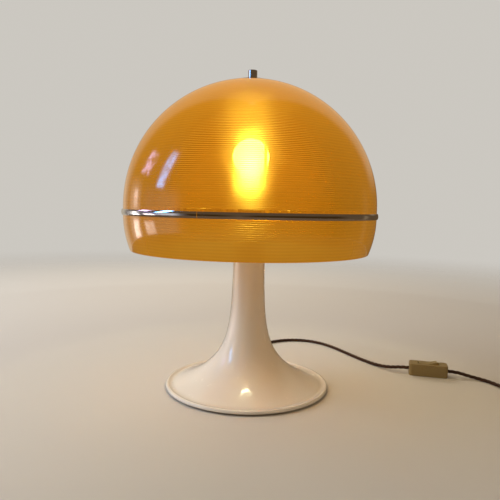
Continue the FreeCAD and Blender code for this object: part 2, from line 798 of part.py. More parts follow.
def make_neck_cap():
    spigot = size.neck_radius - size.shell_wall - size.cap_spigot_gap
    bottom = size.neck_top - size.cap_spigot_depth
    top = size.neck_top + size.cap_thickness
    edge = flare_radius(size.neck_top)
    inner = spigot - size.shell_wall
    outline = [
        (tube_hole, size.neck_top),
        (inner, size.neck_top),
        (inner, bottom),
        (spigot, bottom),
        (spigot, size.neck_top),
        (edge, size.neck_top),
        (edge, top - size.cap_edge),
        Bend(size.cap_edge, 1),
        (edge - size.cap_edge, top),
        (tube_hole, top),
    ]
    turned("neck_cap", outline)


# ---- cord outlet and the flex inside the foot

outlet_wall = flare_radius(size.outlet_height)
outlet_end = outlet_wall + size.outlet_tail_length
cord_radius = size.cord_diameter / 2


def make_outlet():
    # bush through the sloping wall, its collar flush on the wall, and a tail that tapers to the cord
    form = doc.addObject("PartDesign::Body", "foot_form")
    outer, outer_foot, outer_top = flare_curve(-size.outlet_collar_gap.number)
    corners = [outer_top, Vector(0, outer_top.y, 0), Vector(0, outer_foot.y, 0), outer_foot]
    lines = [Part.LineSegment(start, end) for start, end in zip(corners, corners[1:])]
    turn_curves(form, "foot_form", [outer, *lines])
    back = Vector(0, 1, 0)
    slope = flare_slope(size.outlet_height).number
    normal = Vector(0, 1, -slope).normalize()
    sunk = size.outlet_collar_sunk
    collar = lay_along(cylinder(size.outlet_flange_radius, size.outlet_flange_thickness + sunk), normal)
    seat = Vector(0, outlet_wall.number, size.outlet_height.number) - normal * sunk.number
    place(collar, seat.x, seat.y, seat.z)
    collar = less(collar, form)
    barrel_start = outlet_wall - size.outlet_inner_reach
    barrel_length = size.outlet_inner_reach + size.outlet_shoulder
    barrel = lay_along(cylinder(size.outlet_barrel_radius, barrel_length), back)
    place(barrel, 0, barrel_start, size.outlet_height)
    tail = lay_along(cone(size.outlet_tail_root, size.outlet_tail_tip, size.outlet_tail_length), back)
    place(tail, 0, outlet_wall, size.outlet_height)
    length = size.outlet_inner_reach + size.outlet_tail_length
    bore = lay_along(cylinder(cord_radius + size.cord_hole_gap, length + 2 * cord_radius), back)
    place(bore, 0, barrel_start - cord_radius, size.outlet_height)
    name_piece("cord_outlet", less(together(collar, barrel, tail), bore))


# ---- cords: straight runs joined by tangent arcs

def add_shape(name, shape):
    item = doc.addObject("Part::Feature", name)
    item.Shape = shape
    return name_piece(name, item)


def sweep(wire, radius):
    start = wire.Edges[0]
    direction = start.tangentAt(start.FirstParameter)
    ring = Part.Wire(Part.makeCircle(radius, start.valueAt(start.FirstParameter), direction))
    return wire.makePipeShell([ring], True, False)


def route_edges(points, name, share=0.45):
    edges = []
    radii = []
    reached = points[0]
    for before, corner, after in zip(points, points[1:], points[2:]):
        arrive = (corner - before).normalize()
        leave = (after - corner).normalize()
        half_turn = arrive.getAngle(leave) / 2
        setback = share * min((corner - before).Length, (after - corner).Length)
        radius = setback / math.tan(half_turn)
        radii.append(radius)
        start = corner - arrive * setback
        end = corner + leave * setback
        to_centre = (leave - arrive).normalize()
        centre = corner + to_centre * (radius / math.cos(half_turn))
        edges.append(Part.LineSegment(reached, start).toShape())
        edges.append(Part.Arc(start, centre - to_centre * radius, end).toShape())
        reached = end
    edges.append(Part.LineSegment(reached, points[-1]).toShape())
    print(f"{name}: radii {', '.join(str(round(radius)) for radius in radii)} mm")
    return edges


def check_tube(name, shape, wire, radius):
    expected = math.pi * radius ** 2 * wire.Length
    print(f"{name}: {wire.Length:.0f} mm long, volume {shape.Volume / expected:.4f} of section by length")


def cord_tube(name, points, radius, share=0.45):
    wire = Part.Wire(route_edges([Vector(*point) for point in points], name, share))
    shape = sweep(wire, radius)
    check_tube(name, shape, wire, radius)
    return add_shape(name, shape)


flex_height = size.outlet_height.number
flex_end = outlet_end.number
rest_height = cord_radius.number
cord_height = size.switch_cord_height.number
switch_cord_reach = 6


def make_inner_flex():
    bend = size.flex_bend.number
    top = (insert_bottom - size.flex_end_gap).number
    start = Vector(0, flex_end, flex_height)
    level = Vector(0, bend, flex_height)
    upright = Vector(0, 0, flex_height + bend)
    middle = Vector(0, bend - bend * math.sqrt(0.5), flex_height + bend - bend * math.sqrt(0.5))
    wire = Part.Wire([
        Part.LineSegment(start, level).toShape(),
        Part.Arc(level, middle, upright).toShape(),
        Part.LineSegment(upright, Vector(0, 0, top)).toShape(),
    ])
    shape = sweep(wire, cord_radius.number)
    check_tube("inner_flex", shape, wire, cord_radius.number)
    add_shape("inner_flex", shape)


def switch_point(x, y, z):
    # a point of the switch in the lamp's frame
    turn = math.radians(size.switch_turn.number)
    east = size.switch_x.number + x * math.cos(turn) - y * math.sin(turn)
    north = size.switch_y.number + x * math.sin(turn) + y * math.cos(turn)
    return (east, north, z)


def make_cords():
    reach = size.switch_length.number / 2 - switch_cord_reach
    straight = 20
    to_switch = [
        (0, flex_end, flex_height),
        (0, 130, flex_height),
        (0, 148, 17.5),
        (-1, 166, 7),
        (1, 184, rest_height),
        (8, 208, rest_height),
        (24, 240, rest_height),
        (50, 268, rest_height),
        (86, 289, rest_height),
        (124, 291, rest_height),
        (158, 275, rest_height),
        (186, 240, rest_height),
        (210, 190, rest_height),
        (231, 148, rest_height),
        (251, 117, rest_height),
        (270, 94, 6),
        switch_point(-reach - straight, 0, cord_height),
        switch_point(-reach, 0, cord_height),
    ]
    cord_tube("cord_to_switch", to_switch, rest_height)
    coil_start = coil_point(0)
    from_switch = [
        switch_point(reach, 0, cord_height),
        switch_point(reach + straight, 0, cord_height),
        (404, 54, 5.5),
        (421, 44, rest_height),
        (433, 29, rest_height),
        (441, 8, rest_height),
        (coil_start.x, -16, coil_start.z),
        (coil_start.x, coil_start.y + size.cord_diameter.number, coil_start.z),
    ]
    cord_tube("cord_from_switch", from_switch, rest_height)
    coil_end = coil_point(coil_turns)
    plug_x = size.plug_x.number
    plug_side = size.plug_y.number - size.plug_length.number / 2
    plug_z = size.plug_joint.number
    tail = [
        (coil_end.x, coil_end.y + size.cord_diameter.number, coil_end.z),
        (coil_end.x, -21.5, coil_end.z),
        (534.6, -11, 11.4),
        (535.7, -1, 11.1),
        (plug_x, plug_side, plug_z),
        (plug_x, plug_side + 8, plug_z),
    ]
    cord_tube("cord_tail", tail, rest_height)


# ---- the coil of spare cord: in and out again in two layers

coil_turns = 4.5
coil_climb = (2.0, 2.5)
coil_first_angle = 180


def coil_point(turns):
    middle = coil_turns / 2
    reach = size.coil_radius.number - size.coil_pitch.number * (middle - abs(turns - middle))
    start, end = coil_climb
    share = min(max((turns - start) / (end - start), 0), 1)
    climb = share * share * (3 - 2 * share)
    angle = math.radians(coil_first_angle + full_turn * turns)
    x = size.coil_x.number + reach * math.cos(angle)
    y = size.coil_y.number + reach * math.sin(angle)
    return Vector(x, y, size.coil_height.number + size.coil_pitch.number * climb)


def coil_tangent(turns):
    step = 0.01
    if turns in (0, coil_turns):
        angle = math.radians(coil_first_angle + full_turn * turns)
        return Vector(-math.sin(angle), math.cos(angle), 0)
    return (coil_point(turns + step) - coil_point(turns - step)).normalize()


def biarc(start, leave, end, arrive):
    # two arcs that meet half way, tangent to both directions
    chord = end - start
    both = leave + arrive
    square = 2 * (1 - leave.dot(arrive))
    along = chord.dot(both)
    reach = (math.sqrt(along ** 2 + square * chord.dot(chord)) - along) / square
    joint = (start + leave * reach + end - arrive * reach) * 0.5
    edges = []
    for first, direction, last in ((start, leave, joint), (end, -arrive, joint)):
        span = last - first
        across = (span - direction * span.dot(direction)).normalize()
        radius = span.dot(span) / (2 * span.dot(across))
        centre = first + across * radius
        middle = centre + ((first + last) * 0.5 - centre).normalize() * radius
        if first is end:
            edges.append(Part.Arc(last, middle, first).toShape())
        else:
            edges.append(Part.Arc(first, middle, last).toShape())
    return edges


def least_gap(edges, diameter):
    # the smallest distance between turns, measured on points 4 mm apart
    points = []
    for edge in edges:
        count = max(2, round(edge.Length / 4))
        points.extend(edge.discretize(Number=count + 1)[:-1])
    apart = round(4 * diameter / 4)
    pairs = ((near, far) for index, near in enumerate(points) for far in points[index + apart :])
    gap = min((near - far).Length for near, far in pairs)
    return gap - diameter


def make_coil():
    steps = [quarter / 4 for quarter in range(round(4 * coil_turns) + 1)]
    first, last = coil_point(0), coil_point(coil_turns)
    straight = size.cord_diameter.number
    lead = first - coil_tangent(0) * straight
    leave = last + coil_tangent(coil_turns) * straight
    edges = [Part.LineSegment(lead, first).toShape()]
    for before, after in zip(steps, steps[1:]):
        start, end = coil_point(before), coil_point(after)
        edges.extend(biarc(start, coil_tangent(before), end, coil_tangent(after)))
    edges.append(Part.LineSegment(last, leave).toShape())
    wire = Part.Wire(edges)
    shape = sweep(wire, rest_height)
    check_tube("cord_coil", shape, wire, rest_height)
    print(f"cord_coil: least gap between turns {least_gap(edges, size.cord_diameter.number):.2f} mm")
    add_shape("cord_coil", shape)


def make_tie():
    # a flat strap round the section of the coil
    name = "cord_tie"
    body = new_body(name)
    gap = size.tie_gap
    turns_out = size.tie_angle / full_turn + 1 / 3
    outer = size.coil_radius - size.coil_pitch * turns_out + cord_radius + gap
    inner = size.coil_radius - size.coil_pitch * (coil_turns / 2) - cord_radius - gap
    low = size.coil_height - cord_radius - size.tie_table_gap
    high = size.coil_height + size.coil_pitch + cord_radius + gap
    middle_x = (outer + inner) / 2
    middle_z = (high + low) / 2
    sketch = new_sketch(body, "XZ_Plane", name + "_loop")
    thick = size.tie_thickness
    draw_outline(sketch, rounded_rectangle(outer - inner, high - low, size.tie_corner, middle_x, middle_z))
    wide = outer - inner + 2 * thick
    tall = high - low + 2 * thick
    draw_outline(sketch, rounded_rectangle(wide, tall, size.tie_corner + thick, middle_x, middle_z))
    pad(body, sketch, size.tie_width, both_ways=True)
    turn_about_z(body, size.tie_angle)
    place(body, size.coil_x, size.coil_y)


def rounded_rectangle(width, depth, radius, x=0, y=0):
    radius = as_size(radius)
    west = as_size(x) - width / 2
    east = west + width
    south = as_size(y) - depth / 2
    north = south + depth
    return [
        (west + radius, south),
        (east - radius, south),
        Bend(radius, 1),
        (east, south + radius),
        (east, north - radius),
        Bend(radius, 1),
        (east - radius, north),
        (west + radius, north),
        Bend(radius, 1),
        (west, north - radius),
        (west, south + radius),
        Bend(radius, 1),
    ]


# ---- shade

shade_inner = size.shade_radius - size.shade_wall
shade_top = size.shade_centre + size.shade_radius
shade_inner_top = size.shade_centre + shade_inner


def sphere_height(sphere, radius):
    return size.shade_centre + root(sphere * sphere - radius * radius)


def make_dome():
    hole = size.top_hole
    outline = [
        (shade_inner, size.shade_joint),
        (size.shade_radius, size.shade_joint),
        (size.shade_radius, size.shade_centre),
        Bend(size.shade_radius, 1),
        (hole, sphere_height(size.shade_radius, hole)),
        (hole, sphere_height(shade_inner, hole)),
        Bend(shade_inner, -1),
        (shade_inner, size.shade_centre),
    ]
    turned("shade_dome", outline)


def make_skirt():
    fall = size.skirt_turn - size.skirt_bottom
    draw_in = size.skirt_draw_in
    mouth = size.shade_radius - draw_in
    arc = (fall * fall + draw_in * draw_in) / (2 * draw_in)
    share = size.shade_wall / arc
    mouth_in = mouth - (arc - draw_in) * share
    mouth_up = size.skirt_bottom + fall * share
    lap_out = shade_inner - size.lap_gap
    lap_in = lap_out - size.lap_thickness
    lap_top = size.shade_joint + size.lap_height
    outline = [
        (size.shade_radius, size.shade_joint),
        (lap_out, size.shade_joint),
        (lap_out, lap_top),
        (lap_in, lap_top),
        (lap_in, size.skirt_turn - size.lap_thickness),
        (shade_inner, size.skirt_turn),
        Bend(arc - size.shade_wall, -1),
        (mouth_in, mouth_up),
        (mouth, size.skirt_bottom),
        Bend(arc, 1),
        (size.shade_radius, size.skirt_turn),
    ]
    body = turned("shade_skirt", outline)
    rounding(body, "skirt_edge", size.skirt_edge, is_mouth_edge(mouth_up))


def is_mouth_edge(height):
    return lambda edge: edge.BoundBox.ZMax < height.number + 1e-6 and edge.BoundBox.ZLength < 1e-6


def make_band():
    inner = size.shade_radius + size.band_gap
    edge = inner + size.band_edge
    half = size.band_height / 2
    crown = (half * half + size.band_crown * size.band_crown) / (2 * size.band_crown)
    low = size.shade_joint - half
    high = size.shade_joint + half
    outline = [(inner, low), (edge, low), Bend(crown, 1), (edge, high), (inner, high)]
    body = turned("shade_band", outline, size.band_sweep_angle)
    turn_about_z(body, size.band_seam_angle)


washer_top = sphere_height(shade_inner - size.washer_gap, size.washer_radius)
washer_bottom = shade_inner_top - size.washer_thickness
flange_bottom = washer_bottom - size.stud_flange_thickness
eye_top = flange_bottom - size.eye_gap
eye_bottom = eye_top - size.eye_thickness
head_top = eye_bottom - size.eye_gap
stud_top = washer_bottom + size.stud_length


def make_shade_top():
    hole = size.top_hole
    top_sphere = shade_inner - size.washer_gap
    washer = [
        (hole, washer_bottom),
        (size.washer_radius, washer_bottom),
        (size.washer_radius, washer_top),
        Bend(top_sphere, 1),
        (hole, sphere_height(top_sphere, hole)),
    ]
    turned("shade_washer", washer)
    under = size.shade_radius + size.cover_gap
    over = under + size.cover_thickness
    cover = [
        (hole, sphere_height(under, hole)),
        Bend(under, -1),
        (size.cover_radius, sphere_height(under, size.cover_radius)),
        (size.cover_radius, sphere_height(over, size.cover_radius)),
        Bend(over, 1),
        (hole, sphere_height(over, hole)),
    ]
    turned("cover_disc", cover)
    knob_bottom = size.shade_centre + over + size.cover_gap
    knob_top = knob_bottom + size.knob_height
    bore = size.stud_radius + size.stud_fit
    bore_top = knob_bottom + size.knob_bore_depth
    knob = [
        (bore, knob_bottom),
        (size.knob_radius, knob_bottom),
        (size.knob_radius, knob_top - size.knob_edge),
        Bend(size.knob_edge, 1),
        (size.knob_radius - size.knob_edge, knob_top),
        (0, knob_top),
        (0, bore_top),
        (bore, bore_top),
    ]
    turned("finial", knob)


# ---- shade carrier

saddle_bottom = size.neck_top + size.cap_thickness + size.nut_height
saddle_top = saddle_bottom + size.saddle_thickness
peg_top = saddle_top + size.peg_height


def make_saddle():
    body = new_body("harp_saddle")
    strip = level_sketch(body, "saddle_strip", saddle_bottom)
    half = size.saddle_width / 2
    reach = size.harp_foot
    outline = [
        (-reach, -half),
        (reach, -half),
        Bend(half, 1),
        (reach + half, 0),
        Bend(half, 1),
        (reach, half),
        (-reach, half),
        Bend(half, 1),
        (-reach - half, 0),
        Bend(half, 1),
    ]
    draw_outline(strip, outline)
    draw_circle(strip, 0, 0, tube_hole)
    pad(body, strip, size.saddle_thickness)
    pegs = level_sketch(body, "saddle_pegs", saddle_top)
    draw_circle(pegs, reach, 0, size.wire_radius)
    draw_circle(pegs, -reach, 0, size.wire_radius)
    pad(body, pegs, size.peg_height)
    turn_about_z(body, size.harp_angle)


def make_bow():
    # one wire: up from a peg, outward in an S bend, over the bulb and down again
    body = new_body("harp_bow")
    step = size.harp_half_width - size.harp_foot
    rise = size.harp_spread_height
    bend = (step * step + rise * rise) / (4 * step)
    low = peg_top + size.harp_shoulder
    high = low + rise
    top = (eye_top + eye_bottom) / 2
    corner = size.harp_corner
    wide = size.harp_half_width
    foot = size.harp_foot
    path = [
        (foot, peg_top),
        (foot, low),
        Bend(bend, -1),
        ((foot + wide) / 2, (low + high) / 2),
        Bend(bend, 1),
        (wide, high),
        (wide, top - corner),
        Bend(corner, 1),
        (wide - corner, top),
        (corner - wide, top),
        Bend(corner, 1),
        (-wide, top - corner),
        (-wide, high),
        Bend(bend, 1),
        (-(foot + wide) / 2, (low + high) / 2),
        Bend(bend, -1),
        (-foot, low),
        (-foot, peg_top),
    ]
    spine = new_sketch(body, "XZ_Plane", "bow_path")
    draw_outline(spine, path)
    last = spine.GeometryCount - 1
    spine.delGeometry(last)
    section = level_sketch(body, "bow_section", peg_top)
    draw_circle(section, foot, 0, size.wire_radius)
    doc.recompute()
    pipe = body.newObject("PartDesign::AdditivePipe", "bow_wire")
    pipe.Profile = section
    pipe.Spine = (spine, [f"Edge{index + 1}" for index in range(last)])
    eye = level_sketch(body, "bow_eye", eye_bottom)
    draw_circle(eye, 0, 0, size.eye_radius)
    pad(body, eye, size.eye_thickness)
    hole = level_sketch(body, "bow_eye_hole", eye_top)
    draw_circle(hole, 0, 0, size.stud_radius + size.stud_fit)
    pocket(body, hole, size.eye_thickness)
    turn_about_z(body, size.harp_angle)


def make_sleeve(name, side):
    body = new_body(name)
    sketch = level_sketch(body, name + "_ring", saddle_top + size.sleeve_seat)
    draw_circle(sketch, side * size.harp_foot, 0, size.sleeve_radius)
    draw_circle(sketch, side * size.harp_foot, 0, size.wire_radius + size.sleeve_fit)
    pad(body, sketch, size.sleeve_height)
    turn_about_z(body, size.harp_angle)


def make_stud():
    head_bottom = head_top - size.stud_head_height
    outline = [
        (0, head_bottom),
        (size.stud_head_radius, head_bottom),
        (size.stud_head_radius, head_top),
        (size.stud_radius, head_top),
        (size.stud_radius, flange_bottom),
        (size.stud_flange_radius, flange_bottom),
        (size.stud_flange_radius, washer_bottom),
        (size.stud_radius, washer_bottom),
        (size.stud_radius, stud_top),
        (0, stud_top),
    ]
    turned("swivel_stud", outline)


# ---- lampholder

cap_bottom = saddle_top
insert_bottom = cap_bottom + size.holder_cap_height
insert_top = insert_bottom + size.insert_height
shell_top = insert_bottom + size.holder_shell_height
cap_inner = size.holder_radius - size.holder_wall
shell_inner = size.holder_radius - size.holder_shell_wall


def make_holder():
    floor = cap_bottom + size.holder_cap_floor
    bend = size.holder_bend
    cap = [
        (size.tube_radius + size.tube_hole_gap / 2, cap_bottom),
        (size.holder_radius - bend, cap_bottom),
        Bend(bend, 1),
        (size.holder_radius, cap_bottom + bend),
        (size.holder_radius, insert_bottom),
        (cap_inner, insert_bottom),
        (cap_inner, floor),
        (size.tube_radius + size.tube_hole_gap / 2, floor),
    ]
    turned("holder_cap", cap)
    insert = cylinder(shell_inner - size.insert_gap, size.insert_height, z=insert_bottom)
    holes = []
    screws = []
    for side in (-1, 1):
        x = side * size.terminal_spacing
        hole_depth = size.holder_screw_length + size.holder_screw_spare
        hole_radius = size.holder_screw_radius + size.holder_screw_gap
        holes.append(cylinder(hole_radius, hole_depth, x=x, z=insert_bottom))
        head_height = size.holder_screw_head_height
        head = cylinder(size.holder_screw_head, head_height, x=x, z=insert_bottom - head_height)
        shank = cylinder(size.holder_screw_radius, size.holder_screw_length, x=x, z=insert_bottom)
        screws.append(together(head, shank))
    name_piece("holder_insert", less(insert, *holes))
    name_piece("holder_terminal_screws", together(*screws))
    mouth = shell_top - size.holder_lip
    shell = [
        (shell_inner, insert_bottom),
        (size.holder_radius, insert_bottom),
        (size.holder_radius, shell_top - size.holder_edge),
        Bend(size.holder_edge, 1),
        (size.holder_radius - size.holder_edge, shell_top),
        (size.holder_mouth, shell_top),
        (size.holder_mouth, mouth),
        (shell_inner, mouth),
    ]
    turned("holder_shell", shell)
    contact_in = size.lamp_cap_radius + size.screw_shell_fit
    contact_out = contact_in + size.screw_shell_wall
    contact_top = insert_top + size.screw_shell_height
    screw_shell = [
        (contact_in, insert_top),
        (contact_out, insert_top),
        (contact_out, contact_top),
        (contact_in, contact_top),
    ]
    turned("holder_screw_shell", screw_shell)
    ring_bottom = insert_bottom + size.ring_rise
    ring_in = size.holder_radius + size.ring_gap
    ring = [
        (ring_in, ring_bottom),
        (size.ring_radius, ring_bottom),
        (size.ring_radius, ring_bottom + size.ring_height),
        (ring_in, ring_bottom + size.ring_height),
    ]
    turned("holder_ring", ring)


def make_centre_contact():
    # a bent leaf that springs up under the lamp's tip
    body = new_body("holder_centre_contact")
    sketch = new_sketch(body, "XZ_Plane", "contact_leaf")
    low = insert_top
    high = insert_top + size.contact_height
    leaf = size.leaf_thickness
    foot_end = -size.leaf_knee
    slope_end = foot_end + size.leaf_slope
    lean = leaf * (size.leaf_slope / (2 * size.leaf_slope + leaf))
    outline = [
        (-size.leaf_root, low),
        (foot_end, low),
        (slope_end, high - leaf),
        (size.leaf_tip, high - leaf),
        (size.leaf_tip, high),
        (slope_end - lean, high),
        (foot_end - lean, low + leaf),
        (-size.leaf_root, low + leaf),
    ]
    draw_outline(sketch, outline)
    pad(body, sketch, size.leaf_width, both_ways=True)


# ---- bulb

tip_bottom = insert_top + size.contact_height + size.contact_gap
lamp_bottom = tip_bottom + size.lamp_tip_height + size.insulator_height
lamp_top = lamp_bottom + size.lamp_cap_length
ball_centre = lamp_top + size.lamp_ball_height


def make_bulb():
    wall_of_cap = size.lamp_cap_wall
    shoulder = size.lamp_cap_shoulder
    seat = size.lamp_cap_radius - size.lamp_cap_draw_in
    seat_top = lamp_bottom + size.lamp_cap_seat
    inner_shoulder = lamp_bottom + shoulder + size.lamp_cap_inner_rise
    cap = [
        (seat, lamp_bottom),
        (size.lamp_cap_radius, lamp_bottom + shoulder),
        (size.lamp_cap_radius, lamp_top),
        (size.lamp_cap_radius - wall_of_cap, lamp_top),
        (size.lamp_cap_radius - wall_of_cap, inner_shoulder),
        (seat, seat_top),
    ]
    turned("bulb_cap", cap)
    insulator_bottom = tip_bottom + size.lamp_tip_height
    insulator = [
        (0, insulator_bottom),
        (size.insulator_top, insulator_bottom),
        (seat, lamp_bottom),
        (seat, seat_top),
        (0, seat_top),
    ]
    turned("bulb_insulator", insulator)
    tip = [
        (0, tip_bottom),
        (size.lamp_tip_face, tip_bottom),
        (size.lamp_tip_radius, insulator_bottom),
        (0, insulator_bottom),
    ]
    turned("bulb_tip", tip)
    glass = size.glass_wall
    neck = size.lamp_neck
    ball = size.lamp_radius
    neck_top = lamp_top + size.lamp_neck_length
    # the concave shoulder is tangent to the straight neck and to the ball
    rise = ball_centre - neck_top
    hollow = (rise * rise + neck * neck - ball * ball) / (2 * (ball - neck))
    share = ball / (ball + hollow)
    meet_x = (hollow + neck) * share
    meet_z = ball_centre - rise * share
    inner_share = (ball - glass) / (ball + hollow)
    inner_x = (hollow + neck) * inner_share
    inner_z = ball_centre - rise * inner_share
    outline = [
        (neck - glass, lamp_top),
        (neck, lamp_top),
        (neck, neck_top),
        Bend(hollow, -1),
        (meet_x, meet_z),
        Bend(ball, 1),
        (0, ball_centre + ball),
        (0, ball_centre + ball - glass),
        Bend(ball - glass, -1),
        (inner_x, inner_z),
        Bend(hollow + glass, 1),
        (neck - glass, neck_top),
    ]
    turned("bulb_glass", outline)
    flange = lamp_top + size.mount_flange
    mount_top = flange + size.mount_height
    mount_edge = size.lamp_cap_radius - wall_of_cap - size.mount_gap
    mount = [
        (0, lamp_top),
        (mount_edge, lamp_top),
        (mount_edge, flange),
        (size.mount_root, flange + size.mount_shoulder),
        (size.mount_radius, mount_top),
        (0, mount_top),
    ]
    turned("bulb_mount", mount)
    base = mount_top.number
    loop = [
        (-2.5, 0, base),
        (-2.5, 0, base + 3),
        (-8, 0, base + 9),
        (-11, 0, base + 14),
        (-5, 0, base + 16),
        (5, 0, base + 16),
        (11, 0, base + 14),
        (8, 0, base + 9),
        (2.5, 0, base + 3),
        (2.5, 0, base),
    ]
    cord_tube("bulb_filament", loop, size.filament_radius.number)


# ---- inline switch, modelled about its own middle

def in_switch(item):
    turn_about_z(item, size.switch_turn)
    return place(item, size.switch_x, size.switch_y)


def cord_bore(body, name, length):
    # the hole for the cord at both ends, along X
    sketch = new_sketch(body, "YZ_Plane", name)
    draw_circle(sketch, 0, size.switch_cord_height, cord_radius + size.cord_hole_gap)
    pocket(body, sketch, length, both_ways=True)


def case_half(name, bottom, height, inner_bottom, inner_height):
    body = new_body(name)
    plan = level_sketch(body, name + "_plan", bottom)
    corner = size.switch_corner
    draw_outline(plan, rounded_rectangle(size.switch_length, size.switch_width, corner))
    pad(body, plan, height)
    inside = level_sketch(body, name + "_inside", inner_bottom + inner_height)
    length = size.switch_length - 2 * size.switch_wall
    width = size.switch_width - 2 * size.switch_wall
    draw_outline(inside, rounded_rectangle(length, width, corner - size.switch_wall))
    pocket(body, inside, inner_height)
    return body


screw_spots = ((1, 1), (-1, -1))
pin_hole = size.pin_radius + size.pin_fit


def make_lower_case():
    joint = size.switch_cord_height
    body = case_half("switch_lower_case", 0, joint, size.switch_wall, joint - size.switch_wall)
    rounding(body, "lower_case_edge", size.case_bottom_edge, lies_at(as_size(0)))
    bosses = level_sketch(body, "lower_case_bosses", size.switch_wall)
    for x, y in screw_spots:
        draw_circle(bosses, x * size.case_screw_place, y * size.case_screw_side, size.case_boss_radius)
    pad(body, bosses, size.case_boss_height)
    holes = level_sketch(body, "lower_case_screw_holes", size.switch_wall + size.case_boss_height)
    for x, y in screw_spots:
        hole = size.case_screw_radius + size.case_screw_gap
        draw_circle(holes, x * size.case_screw_place, y * size.case_screw_side, hole)
    pocket(body, holes, size.switch_wall + size.case_boss_height)
    heads = level_sketch(body, "lower_case_head_holes", size.switch_wall)
    for x, y in screw_spots:
        hole = size.case_screw_head + size.case_head_gap
        draw_circle(heads, x * size.case_screw_place, y * size.case_screw_side, hole)
    pocket(body, heads, size.switch_wall)
    cord_bore(body, "lower_case_cord_hole", 2 * size.switch_length)
    in_switch(body)


def make_upper_case():
    joint = size.switch_cord_height
    top = size.switch_height
    ceiling = top - size.switch_wall
    body = case_half("switch_upper_case", joint, top - joint, joint, ceiling - joint)
    rounding(body, "upper_case_edge", size.switch_edge, lies_at(top))
    window = level_sketch(body, "upper_case_window", top)
    width = size.rocker_width + 2 * size.rocker_gap
    length = rocker_foot * 2 + 2 * size.rocker_end_gap
    draw_outline(window, rectangle(length, width))
    pocket(body, window, size.switch_wall)
    ears = level_sketch(body, "upper_case_ears", size.rocker_pivot - 2 * size.pin_radius)
    middle = size.rocker_width / 2 + size.boss_gap + size.boss_thickness / 2
    for side in (-1, 1):
        draw_outline(ears, rectangle(size.boss_length, size.boss_thickness, 0, side * middle))
    pad(body, ears, ceiling - size.rocker_pivot + 2 * size.pin_radius)
    pin_holes = new_sketch(body, "XZ_Plane", "upper_case_pin_holes")
    draw_circle(pin_holes, 0, size.rocker_pivot, pin_hole)
    pocket(body, pin_holes, 2 * middle + size.boss_thickness, both_ways=True)
    posts = level_sketch(body, "upper_case_posts", joint + size.case_post_gap)
    for x, y in screw_spots:
        place_x = x * size.case_screw_place
        draw_circle(posts, place_x, y * size.case_screw_side, size.case_boss_radius)
        draw_circle(posts, place_x, y * size.case_screw_side, size.case_screw_radius + size.case_post_bite)
    pad(body, posts, ceiling - joint - size.case_post_gap)
    cord_bore(body, "upper_case_cord_hole", 2 * size.switch_length)
    in_switch(body)


def tipped(x, z):
    # a point of the rocker, given about its pivot, in the tipped rest position
    turn_sine = sine(size.rocker_dip)
    turn_cosine = cosine(size.rocker_dip)
    return (x * turn_cosine - z * turn_sine, size.rocker_pivot + x * turn_sine + z * turn_cosine)


rocker_half = size.rocker_length / 2
rocker_foot = rocker_half + size.rocker_shoulder


def make_rocker():
    dip_sine = sine(size.rocker_dip)
    end_rise = size.rocker_rise + rocker_half * dip_sine / cosine(size.rocker_dip)
    belly = -size.rocker_belly
    body = new_body("switch_rocker")
    sketch = new_sketch(body, "XZ_Plane", "rocker_profile")
    outline = [
        tipped(-(rocker_foot - size.rocker_tuck), belly),
        tipped(rocker_foot - size.rocker_tuck, belly),
        tipped(rocker_foot, as_size(0)),
        tipped(rocker_half, end_rise),
        tipped(as_size(0), size.rocker_rise),
        tipped(-rocker_half, end_rise),
        tipped(-rocker_foot, as_size(0)),
    ]
    draw_outline(sketch, outline)
    draw_circle(sketch, 0, size.rocker_pivot, pin_hole)
    pad(body, sketch, size.rocker_width, both_ways=True)
    in_switch(body)
    bridge = new_body("switch_bridge")
    sketch = new_sketch(bridge, "XZ_Plane", "bridge_profile")
    half = size.bridge_length / 2
    low = belly - size.bridge_thickness
    draw_outline(sketch, [tipped(-half, low), tipped(half, low), tipped(half, belly), tipped(-half, belly)])
    pad(bridge, sketch, size.bridge_width, both_ways=True)
    in_switch(bridge)


def make_pivot_pin():
    body = new_body("switch_pivot_pin")
    sketch = new_sketch(body, "XZ_Plane", "pin_section")
    draw_circle(sketch, 0, size.rocker_pivot, size.pin_radius)
    reach = size.rocker_width / 2 + size.boss_gap + size.boss_thickness
    pad(body, sketch, 2 * reach, both_ways=True)
    in_switch(body)


